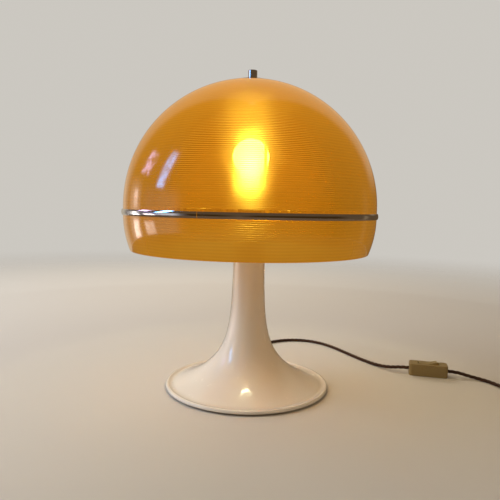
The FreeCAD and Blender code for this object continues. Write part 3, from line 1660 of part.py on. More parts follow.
def make_switch_metal():
    floor = size.switch_wall
    dip = size.rocker_dip
    half = size.bridge_length / 2
    lowest = (size.rocker_belly + size.bridge_thickness) * cosine(dip) + half * sine(dip)
    post_top = size.rocker_pivot - lowest - size.contact_play
    posts = []
    blocks = []
    screws = []
    for x in (-1, 1):
        posts.append(cylinder(size.post_radius, post_top - floor, x=x * size.post_spacing, z=floor))
        for y in (-1, 1):
            block_x = x * size.terminal_place
            block_y = y * size.terminal_side
            block_size = (size.terminal_length, size.terminal_width, size.terminal_height)
            block = box(*block_size, block_x, block_y, floor)
            depth = size.terminal_hole_depth
            top = floor + size.terminal_height
            hole = cylinder(size.terminal_hole_radius, depth, block_x, block_y, top - depth)
            blocks.append(less(block, hole))
            head = cylinder(size.terminal_screw_head, size.terminal_screw_head_height, block_x, block_y, top)
            shank = cylinder(size.terminal_screw_radius, depth, block_x, block_y, top - depth)
            screws.append(together(head, shank))
    name_piece("switch_contacts", in_switch(together(*posts)))
    name_piece("switch_terminals", in_switch(together(*blocks)))
    name_piece("switch_terminal_screws", in_switch(together(*screws)))
    clamp_bottom = size.switch_cord_height + cord_radius + size.cord_clamp_gap
    clamp_x = size.switch_length / 2 - size.switch_wall - size.cord_clamp_inset
    clamp = (size.cord_clamp_length, size.cord_clamp_width, size.cord_clamp_thickness)
    clamps = [box(*clamp, x=side * clamp_x, z=clamp_bottom) for side in (-1, 1)]
    name_piece("switch_clamps", in_switch(together(*clamps)))
    case_screws = []
    for x, y in screw_spots:
        place_x = x * size.case_screw_place
        place_y = y * size.case_screw_side
        head = cylinder(size.case_screw_head, size.case_head_height, place_x, place_y, size.case_head_rise)
        shank_bottom = size.case_head_rise + size.case_head_height
        shank = cylinder(size.case_screw_radius, size.case_screw_length, place_x, place_y, shank_bottom)
        case_screws.append(together(head, shank))
    name_piece("switch_case_screws", in_switch(together(*case_screws)))


# ---- plug, modelled about its own middle, lying on its back with the pins up

plug_clamp_y = -size.plug_length / 2 + size.plug_wall + size.clamp_place
plug_clamp_bottom = size.plug_joint - cord_radius - size.clamp_gap - size.clamp_thickness
pin_bottom = size.plug_height - size.pin_root
cover_head_bottom = size.plug_height - size.cover_screw_rise - size.cover_screw_head_height


def plug_half(name, bottom, height, hollow_bottom, hollow_height):
    body = new_body(name)
    plan = level_sketch(body, name + "_plan", bottom)
    draw_outline(plan, rounded_rectangle(size.plug_width, size.plug_length, size.plug_corner))
    pad(body, plan, height)
    inside = level_sketch(body, name + "_inside", hollow_bottom + hollow_height)
    width = size.plug_width - 2 * size.plug_wall
    length = size.plug_length - 2 * size.plug_wall
    draw_outline(inside, rounded_rectangle(width, length, size.plug_corner - size.plug_wall))
    pocket(body, inside, hollow_height)
    return body


def plug_cord_hole(body, name):
    # from the middle of the plug to -Y
    sketch = new_sketch(body, "XZ_Plane", name)
    draw_circle(sketch, 0, size.plug_joint, cord_radius + size.cord_hole_gap)
    pocket_towards_front(body, sketch, size.plug_length)


def pocket_towards_front(body, sketch, depth):
    doc.recompute()
    before = body.Shape.Volume
    feature = body.newObject("PartDesign::Pocket", sketch.Name + "_pocket")
    feature.Profile = sketch
    feature.Reversed = True
    feature.setExpression("Length", as_size(depth).text)
    doc.recompute()
    if body.Shape.Volume >= before - 1e-6:
        raise ValueError(f"{sketch.Name} cuts nothing")


def pin_outlines(clear):
    live = (size.live_pin_width + 2 * clear, size.pin_thickness + 2 * clear)
    earth = (size.pin_thickness + 2 * clear, size.earth_pin_width + 2 * clear)
    half = size.pin_spacing / 2
    return {
        "plug_live_pin": rectangle(*live, half, size.pin_line),
        "plug_neutral_pin": rectangle(*live, -half, size.pin_line),
        "plug_earth_pin": rectangle(*earth, 0, size.pin_line + size.pin_spacing),
    }


def at_plug(item):
    return place(item, size.plug_x, size.plug_y)


def make_plug():
    joint = size.plug_joint
    cover = plug_half("plug_cover", 0, joint, size.plug_wall, joint - size.plug_wall)
    rounding(cover, "plug_cover_edge", size.plug_edge, lies_at(as_size(0)))
    boss = level_sketch(cover, "plug_cover_boss", size.plug_wall)
    draw_circle(boss, 0, size.cover_screw_place, size.cover_boss_radius)
    draw_circle(boss, 0, size.cover_screw_place, size.cover_screw_radius + size.cover_screw_gap)
    pad(cover, boss, joint - size.plug_wall)
    plug_cord_hole(cover, "plug_cover_cord_hole")
    at_plug(cover)
    depth = size.pin_root + size.pin_slot_spare
    hollow = size.plug_height - joint - depth
    base = plug_half("plug_base", joint, size.plug_height - joint, joint, hollow)
    rounding(base, "plug_base_edge", size.plug_face_edge, lies_at(size.plug_height))
    posts = level_sketch(base, "plug_base_clamp_posts", plug_clamp_bottom + size.clamp_thickness)
    for side in (-1, 1):
        draw_circle(posts, side * size.clamp_screw_place, plug_clamp_y, size.clamp_post_radius)
        draw_circle(posts, side * size.clamp_screw_place, plug_clamp_y, size.clamp_post_hole)
    pad(base, posts, joint + hollow - plug_clamp_bottom - size.clamp_thickness)
    slots = level_sketch(base, "plug_base_pin_slots", size.plug_height)
    for outline in pin_outlines(size.pin_slot_gap).values():
        draw_outline(slots, outline)
    pocket(base, slots, depth)
    screw_hole = level_sketch(base, "plug_base_screw_hole", size.plug_height)
    draw_circle(screw_hole, 0, size.cover_screw_place, size.cover_screw_radius + size.cover_screw_gap)
    pocket(base, screw_hole, depth)
    recess = level_sketch(base, "plug_base_screw_recess", size.plug_height)
    draw_circle(recess, 0, size.cover_screw_place, size.cover_screw_head + size.cover_screw_gap)
    pocket(base, recess, size.plug_height - cover_head_bottom)
    plug_cord_hole(base, "plug_base_cord_hole")
    at_plug(base)
    for name, outline in pin_outlines(0).items():
        body = new_body(name)
        sketch = level_sketch(body, name + "_section", pin_bottom)
        draw_outline(sketch, outline)
        length = size.earth_pin_length if name == "plug_earth_pin" else size.live_pin_length
        pad(body, sketch, length + size.pin_root)
        rounding(body, name + "_tip", size.pin_tip, lies_at(size.plug_height + length))
        at_plug(body)


def make_plug_inside():
    fuse_z = size.plug_wall + size.fuse_rise + size.fuse_radius
    fuse = lay_along(cylinder(size.fuse_radius, size.fuse_length), Vector(0, 1, 0))
    place(fuse, size.plug_x + size.fuse_side, size.plug_y - size.fuse_length / 2 + size.fuse_shift, fuse_z)
    name_piece("plug_fuse", fuse)
    strap = box(size.clamp_width, size.clamp_depth, size.clamp_thickness, 0, plug_clamp_y, plug_clamp_bottom)
    holes = []
    screws = []
    for side in (-1, 1):
        x = side * size.clamp_screw_place
        holes.append(cylinder(size.clamp_hole, size.clamp_thickness, x, plug_clamp_y, plug_clamp_bottom))
        head_height = size.clamp_screw_head_height
        head = cylinder(size.clamp_screw_head, head_height, x, plug_clamp_y, plug_clamp_bottom - head_height)
        length = size.clamp_thickness + size.clamp_screw_bite
        shank = cylinder(size.clamp_screw_radius, length, x, plug_clamp_y, plug_clamp_bottom)
        screws.append(together(head, shank))
    y = size.cover_screw_place
    head = cylinder(size.cover_screw_head, size.cover_screw_head_height, 0, y, cover_head_bottom)
    shank_length = cover_head_bottom - size.cover_screw_end
    shank = cylinder(size.cover_screw_radius, shank_length, 0, y, size.cover_screw_end)
    screws.append(together(head, shank))
    name_piece("plug_clamp", at_plug(less(strap, *holes)))
    name_piece("plug_screws", at_plug(together(*screws)))


# ---- build, check and write

make_foot()
make_felt()
make_base_plate()
make_ballast()
make_tube()
make_nut("tube_nut_lower", nut_top - size.nut_height)
make_nut("tube_nut_upper", size.neck_top + size.cap_thickness)
make_neck_cap()
make_outlet()
make_inner_flex()
make_cords()
make_coil()
make_tie()
make_dome()
make_skirt()
make_band()
make_shade_top()
make_saddle()
make_bow()
make_sleeve("harp_sleeve_a", 1)
make_sleeve("harp_sleeve_b", -1)
make_stud()
make_holder()
make_centre_contact()
make_bulb()
make_lower_case()
make_upper_case()
make_rocker()
make_pivot_pin()
make_switch_metal()
make_plug()
make_plug_inside()
doc.recompute()

for item in doc.Objects:
    if "Invalid" in item.State or "Error" in item.State:
        raise ValueError(f"{item.Label} did not compute")
for name, item in pieces.items():
    if item.Shape.isNull() or not item.Shape.isValid():
        raise ValueError(f"{name} has no valid shape")
for name, item in pieces.items():
    item.Shape.exportStep(f"parts/{name}.step")
print(f"{len(pieces)} pieces written")
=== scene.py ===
import math

import bpy
import numpy as np
from mathutils import Matrix, Vector


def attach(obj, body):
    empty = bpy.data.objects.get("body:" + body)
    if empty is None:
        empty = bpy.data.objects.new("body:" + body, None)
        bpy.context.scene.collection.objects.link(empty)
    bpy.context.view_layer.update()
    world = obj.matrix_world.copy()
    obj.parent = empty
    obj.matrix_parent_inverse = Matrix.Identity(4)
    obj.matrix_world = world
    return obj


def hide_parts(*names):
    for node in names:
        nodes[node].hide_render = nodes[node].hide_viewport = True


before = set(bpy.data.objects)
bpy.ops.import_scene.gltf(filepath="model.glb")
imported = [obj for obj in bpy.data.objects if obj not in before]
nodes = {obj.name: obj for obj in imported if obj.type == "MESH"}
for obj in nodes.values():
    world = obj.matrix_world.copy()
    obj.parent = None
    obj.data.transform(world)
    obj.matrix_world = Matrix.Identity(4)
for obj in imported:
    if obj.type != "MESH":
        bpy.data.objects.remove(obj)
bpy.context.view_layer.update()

mm = 0.001
fullTurn = 2 * math.pi
print("frame loaded:", len(nodes), "pieces")

# The camera stands where the picture was taken from: level with the shade, tipped a little down.
# Its place is in metres, its angles are in radians and its sensor is in millimetres.
view = {
    "place": (0.0018, -0.856, 0.3052),
    "pitchDown": 0.1061,
    "roll": 0.0209,
    "focalPixels": 512.7,
    "pictureSize": 500,
    "centreDrop": 10.76,
    "sensor": 36.0,
    "nearest": 0.02,
}


def makeCamera():
    data = bpy.data.cameras.new("viewCamera")
    data.sensor_width = view["sensor"]
    data.lens = view["sensor"] * view["focalPixels"] / view["pictureSize"]
    data.shift_y = view["centreDrop"] / view["pictureSize"]
    data.clip_start = view["nearest"]
    camera = bpy.data.objects.new("viewCamera", data)
    aim = Matrix.Rotation(math.pi / 2 - view["pitchDown"], 4, "X") @ Matrix.Rotation(view["roll"], 4, "Z")
    camera.matrix_world = Matrix.Translation(view["place"]) @ aim
    bpy.context.scene.collection.objects.link(camera)
    bpy.context.scene.camera = camera


makeCamera()
bpy.context.scene.view_settings.view_transform = "Standard"
print("camera placed")


class Signal:
    # a node's output; sums written on it add Math nodes
    def __init__(self, recipe, socket):
        self.recipe = recipe
        self.socket = socket

    def work(self, operation, *inputs):
        return self.recipe.node("Math", dict(enumerate(inputs)), {"operation": operation})

    def __add__(self, other):
        return self.work("ADD", self, other)

    __radd__ = __add__

    def __sub__(self, other):
        return self.work("SUBTRACT", self, other)

    def __rsub__(self, other):
        return self.work("SUBTRACT", other, self)

    def __mul__(self, other):
        return self.work("MULTIPLY", self, other)

    __rmul__ = __mul__

    def __rtruediv__(self, other):
        return self.work("DIVIDE", other, self)

    def __pow__(self, other):
        return self.work("POWER", self, other)

    def wave(self):
        return self.work("SINE", self)

    def size(self):
        return self.work("ABSOLUTE", self)

    def atMost(self, other):
        return self.work("MINIMUM", self, other)

    def between(self, low, high):
        # 0 below low, 1 above high, smooth in between
        ends = {"Value": self, "From Min": low, "From Max": high}
        return self.recipe.node("MapRange", ends, {"interpolation_type": "SMOOTHSTEP"})


class Recipe:
    # the node tree of one finish or of the sky
    def __init__(self, tree):
        self.tree = tree
        self.tree.nodes.clear()

    def node(self, kind, inputs=None, settings=None, output=0):
        # settings first, because they choose the inputs; an input is a value or another node's output
        made = self.tree.nodes.new("ShaderNode" + kind)
        for name, value in (settings or {}).items():
            if name == "stops":
                self.setStops(made.color_ramp, value)
            else:
                setattr(made, name, value)
        for name, value in (inputs or {}).items():
            if isinstance(value, Signal):
                self.tree.links.new(value.socket, made.inputs[name])
            else:
                made.inputs[name].default_value = value
        return Signal(self, made.outputs[output]) if len(made.outputs) else made

    def setStops(self, ramp, stops):
        while len(ramp.elements) < len(stops):
            ramp.elements.new(1.0)
        for element, (place, tone) in zip(ramp.elements, stops):
            element.position = place
            element.color = (*tone, 1)

    def place(self, stretch=(1, 1, 1)):
        # the piece's own coordinates in metres, stretched along each axis
        spot = self.node("TexCoord", output="Object")
        return self.node("Mapping", {"Vector": spot, "Scale": stretch})

    def parts(self, vector):
        split = self.node("SeparateXYZ", {"Vector": vector}).socket.node
        return [Signal(self, socket) for socket in split.outputs]

    def axes(self):
        # the piece's own x, y and z in metres
        return self.parts(self.place())

    def span(self):
        # the two coordinates laid on the piece's skin
        return self.parts(self.node("TexCoord", output="UV"))[:2]

    def noise(self, scale, detail, low=None, high=None, stretch=(1, 1, 1)):
        # soft spots from 0 to 1; with low and high, they are 0 below low and 1 above high
        spots = self.node("TexNoise", {"Vector": self.place(stretch), "Scale": scale, "Detail": detail})
        return spots if low is None else spots.between(low, high)

    def blend(self, share, first, second):
        # the first colour, with a share of the second
        ends = {0: share, 6: colour(first), 7: colour(second)}
        return self.node("Mix", ends, {"data_type": "RGBA"}, output=2)

    def mix(self, share, first, second):
        # the first shader, with a share of the second
        return self.node("MixShader", {0: share, 1: first, 2: second})

    def bump(self, height, depth, strength=1.0):
        return self.node("Bump", {"Height": height, "Distance": depth, "Strength": strength})

    def coat(self, **inputs):
        # the main shader, its sockets named as words: baseColor stands for Base Color
        sockets = {}
        for word, value in inputs.items():
            label = "".join(" " + letter if letter.isupper() else letter for letter in word).title()
            sockets[label.replace("Ior", "IOR")] = colour(value) if label.endswith("Color") else value
        return self.node("BsdfPrincipled", sockets)

    def finish(self, shader):
        self.node("OutputMaterial", {"Surface": shader})


def colour(value):
    return value if isinstance(value, Signal) else (*value, 1)


finishes = {}


def newFinish(name):
    material = bpy.data.materials.new(name)
    material.use_nodes = True
    finishes[name] = material
    return Recipe(material.node_tree)


def addPiece(name, mesh):
    piece = bpy.data.objects.new(name, mesh)
    bpy.context.scene.collection.objects.link(piece)
    return piece


def gridMesh(name, points, uv=None, wrapAround=False, wrapAlong=False):
    # points[i, j] is row i along and column j around; quads join neighbours, and the last
    # row or column joins the first where the surface is closed that way
    rows, columns = points.shape[:2]
    along = np.arange(rows if wrapAlong else rows - 1)
    around = np.arange(columns if wrapAround else columns - 1)
    row, column = np.meshgrid(along, around, indexing="ij")
    nextRow, nextColumn = row + 1, column + 1
    corners = [(row, column), (row, nextColumn), (nextRow, nextColumn), (nextRow, column)]
    faces = np.stack([(i % rows) * columns + j % columns for i, j in corners], -1).reshape(-1, 4)
    mesh = bpy.data.meshes.new(name)
    mesh.vertices.add(rows * columns)
    mesh.vertices.foreach_set("co", points.reshape(-1).astype(np.float32))
    mesh.loops.add(faces.size)
    mesh.loops.foreach_set("vertex_index", faces.reshape(-1).astype(np.int32))
    mesh.polygons.add(len(faces))
    mesh.polygons.foreach_set("loop_start", np.arange(0, faces.size, 4, dtype=np.int32))
    mesh.polygons.foreach_set("use_smooth", np.ones(len(faces), bool))
    mesh.update(calc_edges=True)
    if uv:
        spots = np.stack([np.stack(uv(i, j), -1) for i, j in corners], 2)
        mesh.uv_layers.new(name="span").data.foreach_set("uv", spots.reshape(-1).astype(np.float32))
    mesh.validate()
    return mesh


def discMesh(name, radii, spokes, height):
    # rings of points round the middle, each taken clockwise so that the faces look up
    angle = np.linspace(0, fullTurn, spokes, endpoint=False)[::-1]
    radius = np.array(radii)[:, None]
    level = np.full((len(radii), spokes), height)
    points = np.stack([radius * np.cos(angle), radius * np.sin(angle), level], -1)
    return gridMesh(name, points, wrapAround=True)


# Floor, sky and lamps: a pale floor that fades into a pale sky, a cool soft light from a window on
# the left and a warm lamp behind, a little to the left. What fills the shadows is warm, as in a lit
# room. Places and sizes are in metres, power is in watts.
stage = {
    "floorTone": (0.62, 0.595, 0.555),
    "floorPatch": (0.56, 0.535, 0.50),
    "patches": {"scale": 2.2, "detail": 2.0},
    "patchShare": 0.12,
    "floorRoughness": 0.85,
    "floorRadii": (0.001, 7.0),
    "floorRings": 12,
    "floorSpokes": 96,
    "fadeFrom": 0.6,
    "fadeTo": 2.8,
    "skyTone": (0.60, 0.575, 0.53),
    "fillTone": (1.0, 0.78, 0.53),
    "fillLight": 0.36,
}
lamps = {
    "windowLamp": {
        "place": (-1.9, 0.1, 1.15),
        "aim": (0, 0, 0.1),
        "size": (1.9, 1.7),
        "power": 35,
        "colour": (0.82, 0.92, 1.06),
    },
    "backLamp": {
        "place": (-0.30, 1.6, 1.25),
        "aim": (0, 0, 0.1),
        "size": (1.3, 0.9),
        "power": 15,
        "colour": (1.0, 0.88, 0.72),
    },
}


def makeFloor():
    # the floor grows clear with distance, so that the sky shows through its far part
    radii = np.linspace(*stage["floorRadii"], stage["floorRings"])
    floor = addPiece("floor", discMesh("floor", radii, stage["floorSpokes"], 0))
    recipe = newFinish("paleFloor")
    x, y = recipe.axes()[:2]
    fade = ((x * x + y * y) ** 0.5).between(stage["fadeFrom"], stage["fadeTo"])
    patches = recipe.noise(**stage["patches"]) * stage["patchShare"]
    tone = recipe.blend(patches, stage["floorTone"], stage["floorPatch"])
    matt = recipe.coat(baseColor=tone, roughness=stage["floorRoughness"])
    recipe.finish(recipe.mix(fade, matt, recipe.node("BsdfTransparent")))
    floor.data.materials.append(finishes["paleFloor"])


def makeSky():
    # the sky is pale where it is looked at, and a warm fill where it lights
    world = bpy.data.worlds.new("studio")
    bpy.context.scene.world = world
    world.use_nodes = True
    recipe = Recipe(world.node_tree)
    ray = recipe.node("LightPath").socket.node
    camera, through, shine = [
        Signal(recipe, ray.outputs[f"Is {kind} Ray"]) for kind in ("Camera", "Transmission", "Glossy")
    ]
    shown = (camera + through + shine).atMost(1.0)
    fill = [part * stage["fillLight"] for part in stage["fillTone"]]
    sky = recipe.node("Background", {"Color": recipe.blend(shown, fill, stage["skyTone"])})
    recipe.node("OutputWorld", {"Surface": sky})


def makeLamp(name, facts):
    # a panel of light that lights the pieces and shows in none of them
    data = bpy.data.lights.new(name, "AREA")
    data.shape = "RECTANGLE"
    data.size, data.size_y = facts["size"]
    data.energy = facts["power"]
    data.color = facts["colour"]
    lamp = bpy.data.objects.new(name, data)
    lamp.visible_glossy = False
    lamp.visible_transmission = False
    towards = Vector(facts["aim"]) - Vector(facts["place"])
    turned = towards.to_track_quat("-Z", "Y").to_matrix().to_4x4()
    lamp.matrix_world = Matrix.Translation(facts["place"]) @ turned
    bpy.context.scene.collection.objects.link(lamp)


# The room that the shines show, painted on a bowl round the lamp: a wall behind, on the left a
# window, its frame, a curtain and a shutter, a dark front, and wood on the right. The panes are
# brighter patches on that side, each broken up by leaves. Turns run from the front to the right
# and rises from the level of the bowl's centre, both in degrees; radius and centre are in metres.
room = {
    "radius": 1.15,
    "centre": 0.30,
    "low": -14.5,
    "high": 88.0,
    "columns": 120,
    "rows": 39,
    "upper": "wood",
    "upperFrom": 4,
    "upperTo": 16,
    "behind": "wall",
    "behindFrom": 118,
    "behindTo": 132,
    "paneEdge": 3.0,
    "leaves": {"scale": 9.0, "detail": 3.0, "low": 0.45, "high": 0.58},
    "tones": {
        "wall": (0.36, 0.30, 0.22),
        "paleWall": (0.50, 0.44, 0.35),
        "frame": (0.15, 0.12, 0.11),
        "glare": (1.0, 0.95, 0.88),
        "glass": (0.70, 0.70, 0.74),
        "curtain": (0.27, 0.26, 0.38),
        "shutter": (0.57, 0.55, 0.58),
        "dim": (0.045, 0.022, 0.006),
        "wood": (0.10, 0.062, 0.032),
        "lightWood": (0.22, 0.155, 0.09),
    },
    "around": [
        (-180, "wall"), (-135, "paleWall"), (-122, "frame"), (-108, "glare"), (-103, "glass"),
        (-98, "frame"), (-88, "curtain"), (-80, "curtain"), (-72, "shutter"), (-60, "shutter"),
        (-54, "frame"), (-47, "dim"), (-24, "dim"), (-8, "wood"), (6, "dim"), (72, "dim"),
        (84, "wood"), (104, "wood"), (109, "lightWood"), (116, "wood"), (150, "wood"), (180, "wall"),
    ],
    "panes": [
        {"turn": -75, "width": 8, "rise": (12, 35), "lean": 0.16, "light": (2.6, 7.0, 14.0), "broken": 0.5},
        {"turn": -99, "width": 13, "rise": (17, 29), "lean": 0.3, "light": (3.4, 2.6, 4.2), "broken": 0.9},
        {"turn": -108, "width": 6, "rise": (0, 8), "lean": 0.0, "light": (3.4, 2.8, 2.6), "broken": 0.5},
        {"turn": -107, "width": 9, "rise": (-14, -4), "lean": 0.0, "light": (5.0, 4.1, 3.7), "broken": 0.2},
        {"turn": -87, "width": 12, "rise": (-14, -5), "lean": -0.2, "light": (4.2, 3.5, 3.2), "broken": 0.3},
    ],
}
tableShine = {
    "radii": (0.0, 0.4, room["radius"]),
    "spokes": 64,
    "height": 0.0004,
    "boards": {"scale": 3.0, "detail": 3.0, "low": 0.35, "high": 0.7, "stretch": (1, 12, 1)},
    "darkBoard": (0.10, 0.060, 0.032),
    "paleBoard": (0.17, 0.11, 0.065),
}


def showInShinesOnly(piece, recipe, tone):
    # glows in its own tone, and no ray but a reflected one meets it
    recipe.finish(recipe.node("Emission", {"Color": tone}))
    for kind in ("camera", "diffuse", "transmission", "shadow", "volume_scatter"):
        setattr(piece, "visible_" + kind, False)


def makeTableShine():
    # a table top of brown boards, just above the floor
    mesh = discMesh("tableShine", tableShine["radii"], tableShine["spokes"], tableShine["height"])
    recipe = newFinish("tableTones")
    mesh.materials.append(finishes["tableTones"])
    boards = recipe.noise(**tableShine["boards"])
    tone = recipe.blend(boards, tableShine["darkBoard"], tableShine["paleBoard"])
    showInShinesOnly(addPiece("tableShine", mesh), recipe, tone)


def inside(value, low, high, edge):
    # 1 between low and high, falling to 0 over the width edge at both ends
    opening = value.between(low - edge / 2, low + edge / 2)
    closing = value.between(high - edge / 2, high + edge / 2)
    return opening * (1 - closing)


def paneShare(pane, turn, rise, leaves):
    # where a pane is lit: inside its width, which leans with height, and inside its rise, less
    # what the leaves hide
    low, high = pane["rise"]
    middle = pane["turn"] - (low + high) / 2 * pane["lean"]
    leaning = turn - rise * pane["lean"]
    lit = inside(leaning, middle - pane["width"] / 2, middle + pane["width"] / 2, room["paneEdge"])
    lit = lit * inside(rise, low, high, room["paneEdge"])
    return lit * (1 - leaves * pane["broken"])


def makeRoom():
    # a bowl of points at even steps of azimuth and elevation; its skin carries the room's tones
    columns, rows = room["columns"], room["rows"]
    azimuth = np.radians(np.linspace(-180, 180, columns + 1))[None, :]
    elevation = np.radians(np.linspace(room["low"], room["high"], rows + 1))[:, None]
    reach = room["radius"] * np.cos(elevation)
    height = room["centre"] + room["radius"] * np.sin(elevation) + 0 * azimuth
    points = np.stack([reach * np.sin(azimuth), -reach * np.cos(azimuth), height], -1)
    mesh = gridMesh("room", points, lambda i, j: (j / columns, i / rows))
    recipe = newFinish("roomTones")
    mesh.materials.append(finishes["roomTones"])
    across, upward = recipe.span()
    turn = across * 360 - 180
    rise = upward * (room["high"] - room["low"]) + room["low"]
    tones = room["tones"]
    stops = [((place + 180) / 360, tones[name]) for place, name in room["around"]]
    level = recipe.node("ValToRGB", {0: across}, {"stops": stops})
    behind = turn.size().between(room["behindFrom"], room["behindTo"])
    upper = recipe.blend(behind, tones[room["upper"]], tones[room["behind"]])
    tone = recipe.blend(rise.between(room["upperFrom"], room["upperTo"]), level, upper)
    leaves = recipe.noise(**room["leaves"])
    for pane in room["panes"]:
        tone = recipe.blend(paneShare(pane, turn, rise, leaves), tone, pane["light"])
    showInShinesOnly(addPiece("room", mesh), recipe, tone)


makeFloor()
makeSky()
for name, facts in lamps.items():
    makeLamp(name, facts)
makeTableShine()
makeRoom()
print("stage lit")

# The flex: three braided strands laid together. Each route is the centre of the flex, in metres,
# and rest is its height as it lies on the table; the coil's points come from a formula.
flex = {
    "diameter": 0.0065,
    "strand": 0.0031,
    "lay": 0.028,
    "step": 0.0012,
    "strands": 3,
    "sides": 12,
    "endShare": 0.02,
    "curveSteps": 16,
    "curveOrder": 3,
    "pathStep": 3,
    "exit": (0, 0.11336, 0.024),
    "lengthToSwitch": 0.545,
    "lengthFromSwitch": 1.222,
}
rest = flex["diameter"] / 2
routeToSwitch = [
    flex["exit"], (0, 0.130, 0.024), (0, 0.148, 0.0175), (-0.001, 0.166, 0.007), (0.001, 0.184, rest),
    (0.008, 0.208, rest), (0.024, 0.240, rest), (0.050, 0.268, rest), (0.086, 0.289, rest),
    (0.124, 0.291, rest), (0.158, 0.275, rest), (0.186, 0.240, rest), (0.210, 0.190, rest),
    (0.231, 0.148, rest), (0.251, 0.117, rest), (0.270, 0.094, 0.006), (0.29016, 0.08313, 0.0105),
    (0.30955, 0.078245, 0.0105),
]
routeFromSwitch = [
    (0.36385, 0.064555, 0.0105), (0.38324, 0.05967, 0.0105), (0.404, 0.054, 0.0055), (0.421, 0.044, rest),
    (0.433, 0.029, rest), (0.441, 0.008, rest), (0.446, -0.016, 0.00445), (0.446, -0.0315, 0.00445),
]
coil = {
    "x": 0.490,
    "y": -0.038,
    "radius": 0.044,
    "pitch": 0.0071,
    "height": 0.00445,
    "turns": 4.5,
    "perTurn": 16,
    "climbFrom": 2,
    "climbTo": 2.5,
}
routeToPlug = [
    (0.534, -0.0315, 0.01155), (0.534, -0.0215, 0.01155), (0.5346, -0.011, 0.0114), (0.5357, -0.001, 0.0111),
    (0.536, 0.008, 0.011), (0.536, 0.016, 0.011),
]


def coilPoints():
    # winds in and out again: the radius falls by one pitch a turn up to the middle turn and grows
    # after it, and the height rises by one pitch in a smooth step between two of the turns
    turn = np.linspace(0, coil["turns"], int(coil["turns"] * coil["perTurn"]) + 1)
    middle = coil["turns"] / 2
    reach = coil["radius"] - coil["pitch"] * (middle - np.abs(turn - middle))
    share = np.clip((turn - coil["climbFrom"]) / (coil["climbTo"] - coil["climbFrom"]), 0, 1)
    height = coil["height"] + coil["pitch"] * share * share * (3 - 2 * share)
    angle = math.pi + fullTurn * turn
    points = np.stack([coil["x"] + reach * np.cos(angle), coil["y"] + reach * np.sin(angle), height], -1)
    return [tuple(point) for point in points]


def smoothLine(name, route, step):
    # the route's NURBS spline as points at even steps along it, and how far along each lies
    curve = bpy.data.curves.new(name, "CURVE")
    curve.dimensions = "3D"
    curve.resolution_u = flex["curveSteps"]
    spline = curve.splines.new("NURBS")
    spline.points.add(len(route) - 1)
    spline.points.foreach_set("co", np.array([(*point, 1.0) for point in route], np.float32).reshape(-1))
    spline.order_u = flex["curveOrder"]
    spline.use_endpoint_u = True
    holder = addPiece(name, curve)
    bpy.context.view_layer.update()
    mesh = bpy.data.meshes.new_from_object(holder)
    line = np.zeros(len(mesh.vertices) * 3)
    mesh.vertices.foreach_get("co", line)
    line = line.reshape(-1, 3)
    bpy.data.objects.remove(holder)
    bpy.data.meshes.remove(mesh)
    steps = np.linalg.norm(np.diff(line, axis=0), axis=1)
    distance = np.concatenate([[0], np.cumsum(steps)])
    keep = np.concatenate([[True], steps > 0])
    even = np.linspace(0, distance[-1], int(round(distance[-1] / step)) + 1)
    return np.stack([np.interp(even, distance[keep], line[keep, axis]) for axis in range(3)], -1), even


def sideAxes(line):
    # two directions across a line that is never upright: level to its side, and square to both
    ahead = np.gradient(line, axis=0)
    ahead /= np.linalg.norm(ahead, axis=1)[:, None]
    side = np.cross([0, 0, 1.0], ahead)
    side /= np.linalg.norm(side, axis=1)[:, None]
    return side, np.cross(ahead, side)


def tubeGrid(line, radius, sides):
    # a circle carried along the line, its first and last rings drawn in to close the ends
    side, over = sideAxes(line)
    angle = np.linspace(0, fullTurn, sides, endpoint=False)
    ring = np.cos(angle)[None, :, None] * side[:, None, :] + np.sin(angle)[None, :, None] * over[:, None, :]
    size = np.full(len(line), radius)
    size[[0, -1]] = radius * flex["endShare"]
    return line[:, None, :] + ring * size[:, None, None]


def makeStrand(name, line, side, over, angle):
    # a strand keeps its distance from the centre line at an angle that grows along it; a ring
    # just past each end closes it
    reach = (flex["diameter"] - flex["strand"]) / 2
    wound = line + reach * (np.cos(angle)[:, None] * side + np.sin(angle)[:, None] * over)
    wound = np.concatenate([wound[:1], wound, wound[-1:]])
    wound[0] -= (wound[2] - wound[1]) * flex["endShare"]
    wound[-1] += (wound[-2] - wound[-3]) * flex["endShare"]
    points = tubeGrid(wound, flex["strand"] / 2, flex["sides"])
    return gridMesh(name, points, lambda i, j: (j / flex["sides"], i * flex["step"]), wrapAround=True)


def joinMeshes(name, meshes):
    pieces = [addPiece(name + "Part", mesh) for mesh in meshes]
    with bpy.context.temp_override(active_object=pieces[0], selected_editable_objects=pieces):
        bpy.ops.object.join()
    pieces[0].name = name
    pieces[0].data.name = name
    return pieces[0]


def makeFlex(name, route):
    # the strands wind round the centre line, one turn in each lay length, and start evenly spaced;
    # gives the flex and its centre line, thinned out
    line, distance = smoothLine(name, route, flex["step"])
    side, over = sideAxes(line)
    starts = [strand / flex["strands"] for strand in range(flex["strands"])]
    angles = [fullTurn * (distance / flex["lay"] + start) for start in starts]
    strands = [makeStrand(name, line, side, over, angle) for angle in angles]
    return joinMeshes(name, strands), line[:: flex["pathStep"]].tolist()


def makeCords():
    first, path = makeFlex("cordToSwitch", routeToSwitch)
    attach(first, "stand")
    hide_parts("cord_to_switch")
    second, path = makeFlex("cordFromSwitch", routeFromSwitch + coilPoints() + routeToPlug)
    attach(second, "stand")
    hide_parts("cord_from_switch", "cord_coil", "cord_tail")
    return first, second


cords = makeCords()
print("cords laid")

